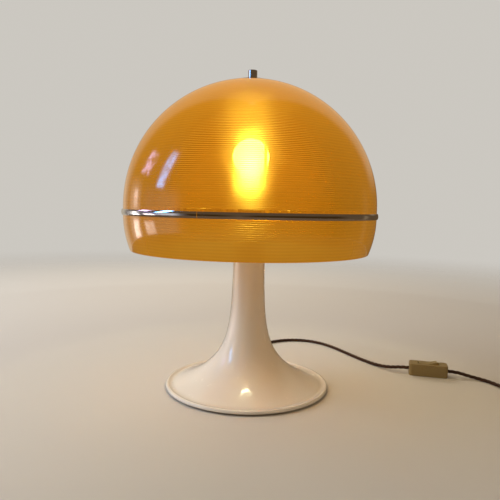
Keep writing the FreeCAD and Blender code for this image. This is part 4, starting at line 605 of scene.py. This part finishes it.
# The shade: both halves are turned walls with an outer and an inner face, in millimetres. The
# skirt's lap reaches up inside the dome.
shade = {
    "radius": 205.0,
    "wall": 3.0,
    "centre": 301.0,
    "joint": 292.5,
    "turn": 288.0,
    "mouth": 194.3,
    "bottom": 231.5,
    "mouthEdge": 1.2,
    "edge": 0.4,
    "jointEdge": 0.3,
    "hole": 3.3,
    "lapHeight": 8.0,
    "lap": 2.0,
    "lapGap": 0.1,
    "sharpAngle": 32,
    "around": 256,
    "domePoints": 84,
    "skirtPoints": (30, 40),
    "lipPoints": 6,
    "edgePoints": 4,
}
innerMark = 10.0
markEdge = 0.1


def arcPoints(centre, radius, start, end, count):
    # points on a circle from one angle to another, in degrees
    angle = np.radians(np.linspace(start, end, count))
    return np.stack([centre[0] + radius * np.cos(angle), centre[1] + radius * np.sin(angle)], -1)


def joinArcs(arcs, innerFace):
    # one closed profile, and for each of its points whether it lies on the inner face
    onInner = [np.full(len(arc), index == innerFace) for index, arc in enumerate(arcs)]
    return np.concatenate(arcs), np.concatenate(onInner)


def turnedPiece(name, profile, onInner):
    # each (radius, height) of a closed profile at every angle: x = r cos a, y = r sin a, z = h;
    # the profile runs anticlockwise, so that the faces point outwards. The skin's second
    # coordinate is the way along the profile, with innerMark added on the inner face
    profile = profile * mm
    rows, around = len(profile), shade["around"]
    angle = np.linspace(0, fullTurn, around, endpoint=False)
    radius, height = profile[:, 0][:, None], profile[:, 1][:, None]
    points = np.stack([radius * np.cos(angle), radius * np.sin(angle), height + 0 * angle], -1)
    steps = np.linalg.norm(np.diff(profile, axis=0), axis=1)
    along = np.concatenate([[0], np.cumsum(steps)]) + innerMark * onInner
    span = lambda i, j: (j / around, along[i % rows])
    mesh = gridMesh(name, points, span, wrapAround=True, wrapAlong=True)
    mesh.set_sharp_from_angle(angle=math.radians(shade["sharpAngle"]))
    mesh.materials.append(finishes["orangeAcrylic"])
    return addPiece(name, mesh)


def domeProfile():
    # the outer and inner spheres end at the hole for the stud, and both corners of the joint
    # are rounded
    outer, inner, edge = shade["radius"], shade["radius"] - shade["wall"], shade["edge"]
    outerTop, innerTop = [math.degrees(math.acos(shade["hole"] / radius)) for radius in (outer, inner)]
    middle = (0, shade["centre"])
    arcs = [
        arcPoints((inner + edge, shade["joint"] + edge), edge, 180, 270, shade["edgePoints"]),
        arcPoints((outer - edge, shade["joint"] + edge), edge, 270, 360, shade["edgePoints"]),
        arcPoints(middle, outer, 0, outerTop, shade["domePoints"]),
        arcPoints(middle, inner, innerTop, 0, shade["domePoints"]),
    ]
    return joinArcs(arcs, innerFace=3)


def skirtProfile():
    # the wall follows an arc that starts upright at turn and is drawn in to the mouth: its radius
    # is (fall squared + draw squared) / (2 draw)
    outer, wall, turn = shade["radius"], shade["wall"], shade["turn"]
    fall, draw = turn - shade["bottom"], outer - shade["mouth"]
    bend = (fall * fall + draw * draw) / (2 * draw)
    middle = (outer - bend, turn)
    low = -math.degrees(math.asin(fall / bend))
    lip = shade["mouthEdge"]
    tuck = math.degrees(lip / bend)
    innerCount, outerCount = shade["skirtPoints"]
    arcs = [
        arcPoints(middle, bend - wall, 0, low + tuck, innerCount),
        lipPoints(middle, bend, low),
        arcPoints(middle, bend, low + tuck, 0, outerCount),
        lapPoints(),
    ]
    return joinArcs(arcs, innerFace=0)


def lipPoints(middle, bend, low):
    # the rounded rim: a quarter turn of the mouth's edge from the inner face, and one to the outer
    tilt = math.radians(low)
    out = np.array([math.cos(tilt), math.sin(tilt)])
    down = np.array([math.sin(tilt), -math.cos(tilt)])
    lip, count = shade["mouthEdge"], shade["lipPoints"]
    innerCorner = np.array(middle) + out * (bend - shade["wall"] + lip) - down * lip
    outerCorner = np.array(middle) + out * (bend - lip) - down * lip
    inner = arcPoints(innerCorner, lip, low - 180, low - 90, count)
    outer = arcPoints(outerCorner, lip, low - 90, low, count)
    return np.concatenate([inner, outer])


def lapPoints():
    # from the joint up the lap's outer side, over its bevelled top and down its inner side
    outer, joint, bevel, edge = shade["radius"], shade["joint"], shade["edge"], shade["jointEdge"]
    lapOut = outer - shade["wall"] - shade["lapGap"]
    lapIn = lapOut - shade["lap"]
    lapTop = joint + shade["lapHeight"]
    return [
        (outer, joint - edge),
        (outer - edge, joint),
        (lapOut, joint),
        (lapOut, lapTop - bevel),
        (lapOut - bevel, lapTop),
        (lapIn + bevel, lapTop),
        (lapIn, lapTop - bevel),
        (lapIn, shade["turn"] - shade["lap"]),
    ]


# Orange acrylic, lit by the lamp inside it. The outer skin is a dyed body with a painted glow, an emission
# that stands in for the bulb's light shining through the wall, mixed with a clear share that lets the
# bulb show: less of it towards the mouth and at a grazing angle. The inner skin has fine rings left by the
# moulding. It is part clear, part a soft spread and part a wide one that draws the light up and down.
# Heights and pitches are in metres.
acrylic = {
    "body": (0.21, 0.085, 0.004),
    "patch": (0.25, 0.11, 0.006),
    "patches": {"scale": 22, "detail": 2.0, "low": 0.35, "high": 0.75},
    "patchShare": 0.3,
    "roughness": 0.14,
    "polish": 0.02,
    "flaws": {"scale": 60, "detail": 2.0},
    "flawDepth": 0.00003,
    "tint": (1.0, 0.80, 0.28),
    "index": 1.49,
    # painted glow: emission on the shade standing in for the bulb's light shining through it
    "glow": (1.0, 0.40, 0.016),
    "glowStrength": 0.93,
    "glowFall": 1.3,
    "bulbHeight": 0.385,
    "nearest": 0.12,
    "ringPitch": 0.0046,
    "ringTone": 0.07,
    "drift": {"scale": 9.0, "detail": 1.0},
    "driftTurn": 6.0,
    "clear": 0.50,
    "clearFall": 1.2,
    "mouth": 0.235,
    "seam": 0.310,
    "mouthShare": 0.28,
    "groovePitch": 0.0028,
    "grooveNoise": {"scale": 300, "detail": 2.0, "share": 0.5, "least": 0.75},
    "soft": {"share": 0.45, "slope": 0.24, "roughness": 0.42},
    "wide": {"share": 0.31, "slope": 1.30, "roughness": 0.44},
    "upper": {"share": 0.155, "slope": 0.60, "roughness": 0.44},
}


def acrylicPaintedGlow(recipe, along, drift):
    # painted glow: an emission that stands in for the bulb's light through the wall; it falls with a power
    # of the distance from the bulb, and faint rings run through it
    x, y, z = recipe.axes()
    rise = z - acrylic["bulbHeight"]
    distance = (x * x + y * y + rise * rise) ** 0.5
    falling = (acrylic["nearest"] / distance) ** acrylic["glowFall"]
    ring = (along * (fullTurn / acrylic["ringPitch"]) + drift * acrylic["driftTurn"]).wave()
    strength = (falling * (ring * acrylic["ringTone"] + 1)).atMost(1.0)
    return recipe.blend(strength, (0, 0, 0), acrylic["glow"])


def acrylicClearShare(recipe):
    # full at the seam and smaller at the mouth, and less the more the skin turns away
    height = recipe.axes()[2]
    grazing = recipe.node("LayerWeight", output="Facing")
    rising = height.between(acrylic["mouth"], acrylic["seam"])
    lower = rising * (1 - acrylic["mouthShare"]) + acrylic["mouthShare"]
    return (1 - grazing ** acrylic["clearFall"]) * lower * acrylic["clear"]


def acrylicGrooves(recipe, along, drift):
    # a wave along the skin whose height is uneven from groove to groove
    facts = acrylic["grooveNoise"]
    place = {"W": along * facts["scale"] + drift, "Scale": 1.0, "Detail": facts["detail"]}
    uneven = recipe.node("TexNoise", place, {"noise_dimensions": "1D"}) * facts["share"] + facts["least"]
    return (along * (fullTurn / acrylic["groovePitch"])).wave() * uneven


def acrylicSpread(recipe, grooves, facts, index):
    # light bent by the grooves: a wave of this slope has the depth slope x pitch / 2 pi
    normal = recipe.bump(grooves, facts["slope"] * acrylic["groovePitch"] / fullTurn)
    bent = {"Roughness": facts["roughness"], "IOR": index, "Normal": normal}
    return recipe.node("BsdfRefraction", {"Color": colour(acrylic["tint"]), **bent})


def orangeAcrylic():
    recipe = newFinish("orangeAcrylic")
    along = recipe.span()[1]
    drift = recipe.noise(**acrylic["drift"])
    patches = recipe.noise(**acrylic["patches"]) * acrylic["patchShare"]
    body = recipe.blend(patches, acrylic["body"], acrylic["patch"])
    flaws = recipe.bump(recipe.noise(**acrylic["flaws"]), acrylic["flawDepth"])
    glow = acrylicPaintedGlow(recipe, along, drift)
    dyed = recipe.coat(baseColor=body, roughness=acrylic["roughness"], normal=flaws,
                       emissionColor=glow, emissionStrength=acrylic["glowStrength"],
                       coatWeight=1.0, coatRoughness=acrylic["polish"])
    clear = recipe.node("BsdfTransparent", {"Color": colour(acrylic["tint"])})
    outer = recipe.mix(acrylicClearShare(recipe), dyed, clear)
    grooves = acrylicGrooves(recipe, along, drift)
    soft = acrylicSpread(recipe, grooves, acrylic["soft"], acrylic["index"])
    wide = acrylicSpread(recipe, grooves, acrylic["wide"], acrylic["index"])
    upper = acrylicSpread(recipe, grooves, acrylic["upper"], 1 / acrylic["index"])
    wide = recipe.mix(acrylic["upper"]["share"], wide, upper)
    softShare = acrylic["soft"]["share"] / (1 - acrylic["wide"]["share"])
    inner = recipe.mix(acrylic["wide"]["share"], recipe.mix(softShare, clear, soft), wide)
    isInner = along.between(innerMark / 2, innerMark / 2 + markEdge)
    recipe.finish(recipe.mix(isInner, outer, inner))


def makeShade():
    halves = (("shadeDome", domeProfile(), "shade_dome"), ("shadeSkirt", skirtProfile(), "shade_skirt"))
    for name, profile, node in halves:
        piece = turnedPiece(name, *profile)
        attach(piece, "shade")
        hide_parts(node)


orangeAcrylic()
makeShade()
print("shade turned")

# Stove enamel: faint orange peel, and painted shade that darkens the groove by the rim. The groove's limits
# are radii and heights in metres.
enamel = {
    "tone": (0.82, 0.785, 0.72),
    "patch": (0.78, 0.74, 0.67),
    "patches": {"scale": 14, "detail": 3.0, "low": 0.4, "high": 0.7},
    "patchShare": 0.5,
    "dust": (0.52, 0.44, 0.33),
    "grooveShadeShare": 0.30,
    "grooveStart": (0.118, 0.1285),
    "grooveEnd": (0.1295, 0.134),
    "grooveTop": (0.006, 0.012),
    "scuffs": {"scale": 120, "detail": 4.0, "low": 0.62, "high": 0.78, "stretch": (1, 1, 0.25)},
    "scuffRough": 0.12,
    "roughness": 0.22,
    "peel": {"scale": 420, "detail": 2.0},
    "peelBump": {"depth": 0.00003, "strength": 0.35},
    "glaze": 0.6,
    "glazeRoughness": 0.04,
}


def creamEnamel():
    recipe = newFinish("creamEnamel")
    x, y, z = recipe.axes()
    reach = (x * x + y * y) ** 0.5
    # painted shade: the groove by the rim is darkened
    groove = reach.between(*enamel["grooveStart"]) * (1 - reach.between(*enamel["grooveEnd"]))
    groove = groove * (1 - z.between(*enamel["grooveTop"]))
    patches = recipe.noise(**enamel["patches"]) * enamel["patchShare"]
    tone = recipe.blend(patches, enamel["tone"], enamel["patch"])
    tone = recipe.blend(groove * enamel["grooveShadeShare"], tone, enamel["dust"])
    rougher = recipe.noise(**enamel["scuffs"]) * enamel["scuffRough"] + enamel["roughness"]
    peel = recipe.bump(recipe.noise(**enamel["peel"]), **enamel["peelBump"])
    recipe.finish(recipe.coat(baseColor=tone, roughness=rougher, normal=peel,
                              coatWeight=enamel["glaze"], coatRoughness=enamel["glazeRoughness"]))


metals = {
    "polishedChrome": {
        "light": (0.86, 0.86, 0.86), "dark": (0.80, 0.80, 0.81),
        "rough": 0.04, "drawn": 6, "scale": 60, "age": 0.08,
    },
    "bulbNickel": {
        "light": (0.66, 0.62, 0.54), "dark": (0.55, 0.50, 0.43),
        "rough": 0.22, "drawn": 12, "scale": 90, "age": 0.25,
    },
    "zincSteel": {
        "light": (0.56, 0.55, 0.53), "dark": (0.45, 0.44, 0.42),
        "rough": 0.28, "drawn": 12, "scale": 90, "age": 0.25,
    },
    "turnedBrass": {
        "light": (0.70, 0.50, 0.22), "dark": (0.60, 0.40, 0.16),
        "rough": 0.20, "drawn": 12, "scale": 90, "age": 0.25,
    },
}
metalWear = {
    "tarnish": (0.12, 0.10, 0.08),
    "streakDetail": 4.0,
    "streakTones": (0.35, 0.65),
    "streakRough": 0.10,
    "streakBump": {"depth": 0.00002, "strength": 0.3},
    "spots": {"detail": 3.0, "low": 0.60, "high": 0.75},
    "spotScale": 0.7,
    "spotRough": 0.18,
}


def metal(name, light, dark, rough, drawn, scale, age):
    # drawn or turned metal: streaks along one axis in tone and gloss, and a few dull spots
    recipe = newFinish(name)
    streak = recipe.noise(scale, metalWear["streakDetail"], stretch=(1, 1, drawn))
    spots = recipe.noise(scale * metalWear["spotScale"], **metalWear["spots"])
    tone = recipe.blend(streak.between(*metalWear["streakTones"]), light, dark)
    tone = recipe.blend(spots * age, tone, metalWear["tarnish"])
    rougher = streak * metalWear["streakRough"] + spots * metalWear["spotRough"] + rough
    drawing = recipe.bump(streak, **metalWear["streakBump"])
    recipe.finish(recipe.coat(baseColor=tone, metallic=1.0, roughness=rougher, normal=drawing))


plastics = {
    "brownBakelite": {
        "light": (0.020, 0.014, 0.011), "dark": (0.036, 0.024, 0.018), "rough": 0.30, "polish": 0.3,
    },
    "softWasher": {
        "light": (0.55, 0.54, 0.50), "dark": (0.46, 0.45, 0.41), "rough": 0.60, "polish": 0.0,
    },
    "whiteCeramic": {
        "light": (0.78, 0.76, 0.71), "dark": (0.70, 0.67, 0.61), "rough": 0.25, "polish": 0.4,
    },
    "innerSleeving": {
        "light": (0.30, 0.29, 0.27), "dark": (0.22, 0.21, 0.20), "rough": 0.55, "polish": 0.0,
    },
    "paperTie": {
        "light": (0.03, 0.03, 0.032), "dark": (0.055, 0.052, 0.05), "rough": 0.48, "polish": 0.0,
    },
}
plasticWear = {
    "patches": {"scale": 30, "detail": 3.0, "low": 0.35, "high": 0.7},
    "marks": {"scale": 180, "detail": 4.0, "low": 0.55, "high": 0.75},
    "markRough": 0.15,
    "grain": {"scale": 900, "detail": 2.0},
    "grainBump": {"depth": 0.00003, "strength": 0.4},
}


def plastic(name, light, dark, rough, polish):
    # moulded plastic: fine grain, handling marks that dull it, and a slow change of tone
    recipe = newFinish(name)
    tone = recipe.blend(recipe.noise(**plasticWear["patches"]), light, dark)
    duller = recipe.noise(**plasticWear["marks"]) * plasticWear["markRough"] + rough
    grain = recipe.bump(recipe.noise(**plasticWear["grain"]), **plasticWear["grainBump"])
    recipe.finish(recipe.coat(baseColor=tone, roughness=duller, normal=grain, coatWeight=polish))


felt = {
    "dark": (0.012, 0.015, 0.012),
    "light": (0.05, 0.055, 0.045),
    "fibres": {"scale": 700, "detail": 5.0, "stretch": (1, 1, 2)},
    "fibreShare": 0.6,
    "fibreBump": {"depth": 0.0004, "strength": 0.8},
    "tufts": {"scale": 60, "detail": 3.0},
    "roughness": 0.95,
    "sheen": 0.4,
    "sheenRoughness": 0.5,
}


def darkFelt():
    # pressed felt: fine fibres and larger tufts, both in its tone
    recipe = newFinish("darkFelt")
    fibres = recipe.noise(**felt["fibres"])
    tufts = recipe.noise(**felt["tufts"])
    pressed = fibres * felt["fibreShare"] + tufts * (1 - felt["fibreShare"])
    tone = recipe.blend(pressed, felt["dark"], felt["light"])
    recipe.finish(recipe.coat(baseColor=tone, roughness=felt["roughness"],
                              normal=recipe.bump(fibres, **felt["fibreBump"]),
                              sheenWeight=felt["sheen"], sheenRoughness=felt["sheenRoughness"]))


iron = {
    "dark": (0.05, 0.048, 0.046),
    "light": (0.11, 0.105, 0.10),
    "rust": (0.16, 0.065, 0.025),
    "rustSpots": {"scale": 26, "detail": 3.0, "low": 0.55, "high": 0.75},
    "rustShare": 0.6,
    "skin": {"scale": 260, "detail": 5.0},
    "skinBump": {"depth": 0.0003, "strength": 0.6},
    "skinRough": 0.2,
    "metallic": 0.4,
    "roughness": 0.55,
}


def castIron():
    # rough from the sand, with patches of rust
    recipe = newFinish("castIron")
    skin = recipe.noise(**iron["skin"])
    rust = recipe.noise(**iron["rustSpots"]) * iron["rustShare"]
    tone = recipe.blend(rust, recipe.blend(skin, iron["dark"], iron["light"]), iron["rust"])
    rougher = skin * iron["skinRough"] + iron["roughness"]
    recipe.finish(recipe.coat(baseColor=tone, metallic=iron["metallic"], roughness=rougher,
                              normal=recipe.bump(skin, **iron["skinBump"])))


bulb = {
    "glass": (0.9, 0.88, 0.84),
    "dim": (0.12, 0.09, 0.04),
    "lit": (1.0, 0.93, 0.55),
    "neck": 0.340,
    "ball": 0.388,
    "strength": 62.0,
    "frost": {"scale": 900, "detail": 2.0},
    "frostRough": 0.1,
    "roughness": 0.4,
}


def litBulb():
    # frosted glass lit from within: brightest round the middle of the ball, dimmer at the neck
    recipe = newFinish("litBulb")
    height = recipe.axes()[2]
    tone = recipe.blend(height.between(bulb["neck"], bulb["ball"]), bulb["dim"], bulb["lit"])
    frost = recipe.noise(**bulb["frost"]) * bulb["frostRough"] + bulb["roughness"]
    recipe.finish(recipe.coat(baseColor=bulb["glass"], roughness=frost, emissionColor=tone,
                              emissionStrength=bulb["strength"]))


mountGlass = {
    "dull": (0.80, 0.83, 0.82),
    "bright": (0.92, 0.94, 0.93),
    "swirls": {"scale": 160, "detail": 2.0},
    "swirlRough": 0.05,
    "roughness": 0.05,
    "clear": 0.7,
    "index": 1.5,
}


def clearGlass():
    # the bulb's glass mount, with faint swirls
    recipe = newFinish("clearGlass")
    swirls = recipe.noise(**mountGlass["swirls"])
    tone = recipe.blend(swirls, mountGlass["dull"], mountGlass["bright"])
    rougher = swirls * mountGlass["swirlRough"] + mountGlass["roughness"]
    recipe.finish(recipe.coat(baseColor=tone, roughness=rougher, transmissionWeight=mountGlass["clear"],
                              ior=mountGlass["index"]))


cotton = {
    # under is painted shade in the weave's dips and over is the lighter tone of its crowns
    "under": (0.020, 0.007, 0.003),
    "over": (0.070, 0.024, 0.010),
    "paintedGlint": (0.16, 0.065, 0.030),
    "glintLeft": (0.3, 0.9),
    "glintRight": (-0.2, 0.6),
    "glintShare": 0.45,
    "worn": (0.045, 0.017, 0.008),
    "wornSpots": {"scale": 40, "detail": 2.0, "low": 0.4, "high": 0.7},
    "wornShare": 0.4,
    "threads": 5,
    "pitch": 0.0026,
    "fuzz": {"scale": 1400, "detail": 3.0},
    "fuzzShare": 0.6,
    "bump": {"depth": 0.00012, "strength": 0.9},
    "roughness": 0.72,
    "sheen": 0.08,
}


def braidedCotton():
    # two sets of threads run round each strand in opposite screws and cross over and under:
    # the height is the product of their two waves, and the tone follows it as painted shade in its dips,
    # lighter on its crowns, with painted glints on the threads
    recipe = newFinish("braidedCotton")
    around, along = recipe.span()
    turns = around * (fullTurn * cotton["threads"])
    run = along * (fullTurn / cotton["pitch"])
    leftScrew = (turns + run).wave()
    rightScrew = (turns - run).wave()
    weave = leftScrew * rightScrew
    # painted glints: small highlights on the threads
    paintedGlints = leftScrew.between(*cotton["glintLeft"]) * rightScrew.between(*cotton["glintRight"])
    # painted shade: dark where the weave dips, light on its crowns
    tone = recipe.blend(weave * 0.5 + 0.5, cotton["under"], cotton["over"])
    tone = recipe.blend(paintedGlints * cotton["glintShare"], tone, cotton["paintedGlint"])
    tone = recipe.blend(recipe.noise(**cotton["wornSpots"]) * cotton["wornShare"], tone, cotton["worn"])
    height = weave + recipe.noise(**cotton["fuzz"]) * cotton["fuzzShare"]
    normal = recipe.bump(height, **cotton["bump"])
    recipe.finish(recipe.coat(baseColor=tone, roughness=cotton["roughness"], normal=normal,
                              sheenWeight=cotton["sheen"]))


switchCase = {
    "dark": (0.30, 0.225, 0.10),
    "light": (0.38, 0.29, 0.14),
    "worn": (0.42, 0.33, 0.18),
    "wornShare": 0.45,
    "wornHeight": (0.0195, 0.0222),
    "wornSpots": {"scale": 220, "detail": 3.0, "low": 0.40, "high": 0.62},
    "flakes": {"scale": 2600, "detail": 2.0},
    "flakeTones": (0.35, 0.7),
    "flakeBump": {"depth": 0.00002, "strength": 0.3},
    "marks": {"scale": 150, "detail": 4.0, "low": 0.55, "high": 0.72},
    "markRough": 0.12,
    "metallic": 0.25,
    "roughness": 0.36,
}


def goldPlastic():
    # olive gold with a slightly metallic flake, worn paler on the upper edges
    recipe = newFinish("goldPlastic")
    height = recipe.axes()[2]
    flakes = recipe.noise(**switchCase["flakes"])
    worn = height.between(*switchCase["wornHeight"]) * recipe.noise(**switchCase["wornSpots"])
    tone = recipe.blend(flakes.between(*switchCase["flakeTones"]), switchCase["dark"], switchCase["light"])
    tone = recipe.blend(worn * switchCase["wornShare"], tone, switchCase["worn"])
    duller = recipe.noise(**switchCase["marks"]) * switchCase["markRough"] + switchCase["roughness"]
    recipe.finish(recipe.coat(baseColor=tone, metallic=switchCase["metallic"], roughness=duller,
                              normal=recipe.bump(flakes, **switchCase["flakeBump"])))


creamEnamel()
for name, facts in metals.items():
    metal(name, **facts)
for name, facts in plastics.items():
    plastic(name, **facts)
darkFelt()
castIron()
litBulb()
clearGlass()
braidedCotton()
goldPlastic()

# which finish each of the frame's materials gets
slotFinish = {
    "enamel": "creamEnamel",
    "felt": "darkFelt",
    "iron": "castIron",
    "steel": "zincSteel",
    "chrome": "polishedChrome",
    "nickel": "bulbNickel",
    "brass": "turnedBrass",
    "soft_washer": "softWasher",
    "dark_plastic": "brownBakelite",
    "gold_plastic": "goldPlastic",
    "ceramic": "whiteCeramic",
    "frosted_glass": "litBulb",
    "clear_glass": "clearGlass",
    "orange_acrylic": "orangeAcrylic",
    "inner_insulation": "innerSleeving",
    "tie_band": "paperTie",
    "braided_cord": "braidedCotton",
}


def dressNodes():
    for name, piece in nodes.items():
        for slot in piece.material_slots:
            word = slot.material.name.split(".")[0]
            if word in slotFinish:
                slot.material = finishes[slotFinish[word]]
            else:
                print("no finish for", name, word)
    for piece in cords:
        piece.data.materials.clear()
        piece.data.materials.append(finishes["braidedCotton"])


dressNodes()
print("finishes laid on")
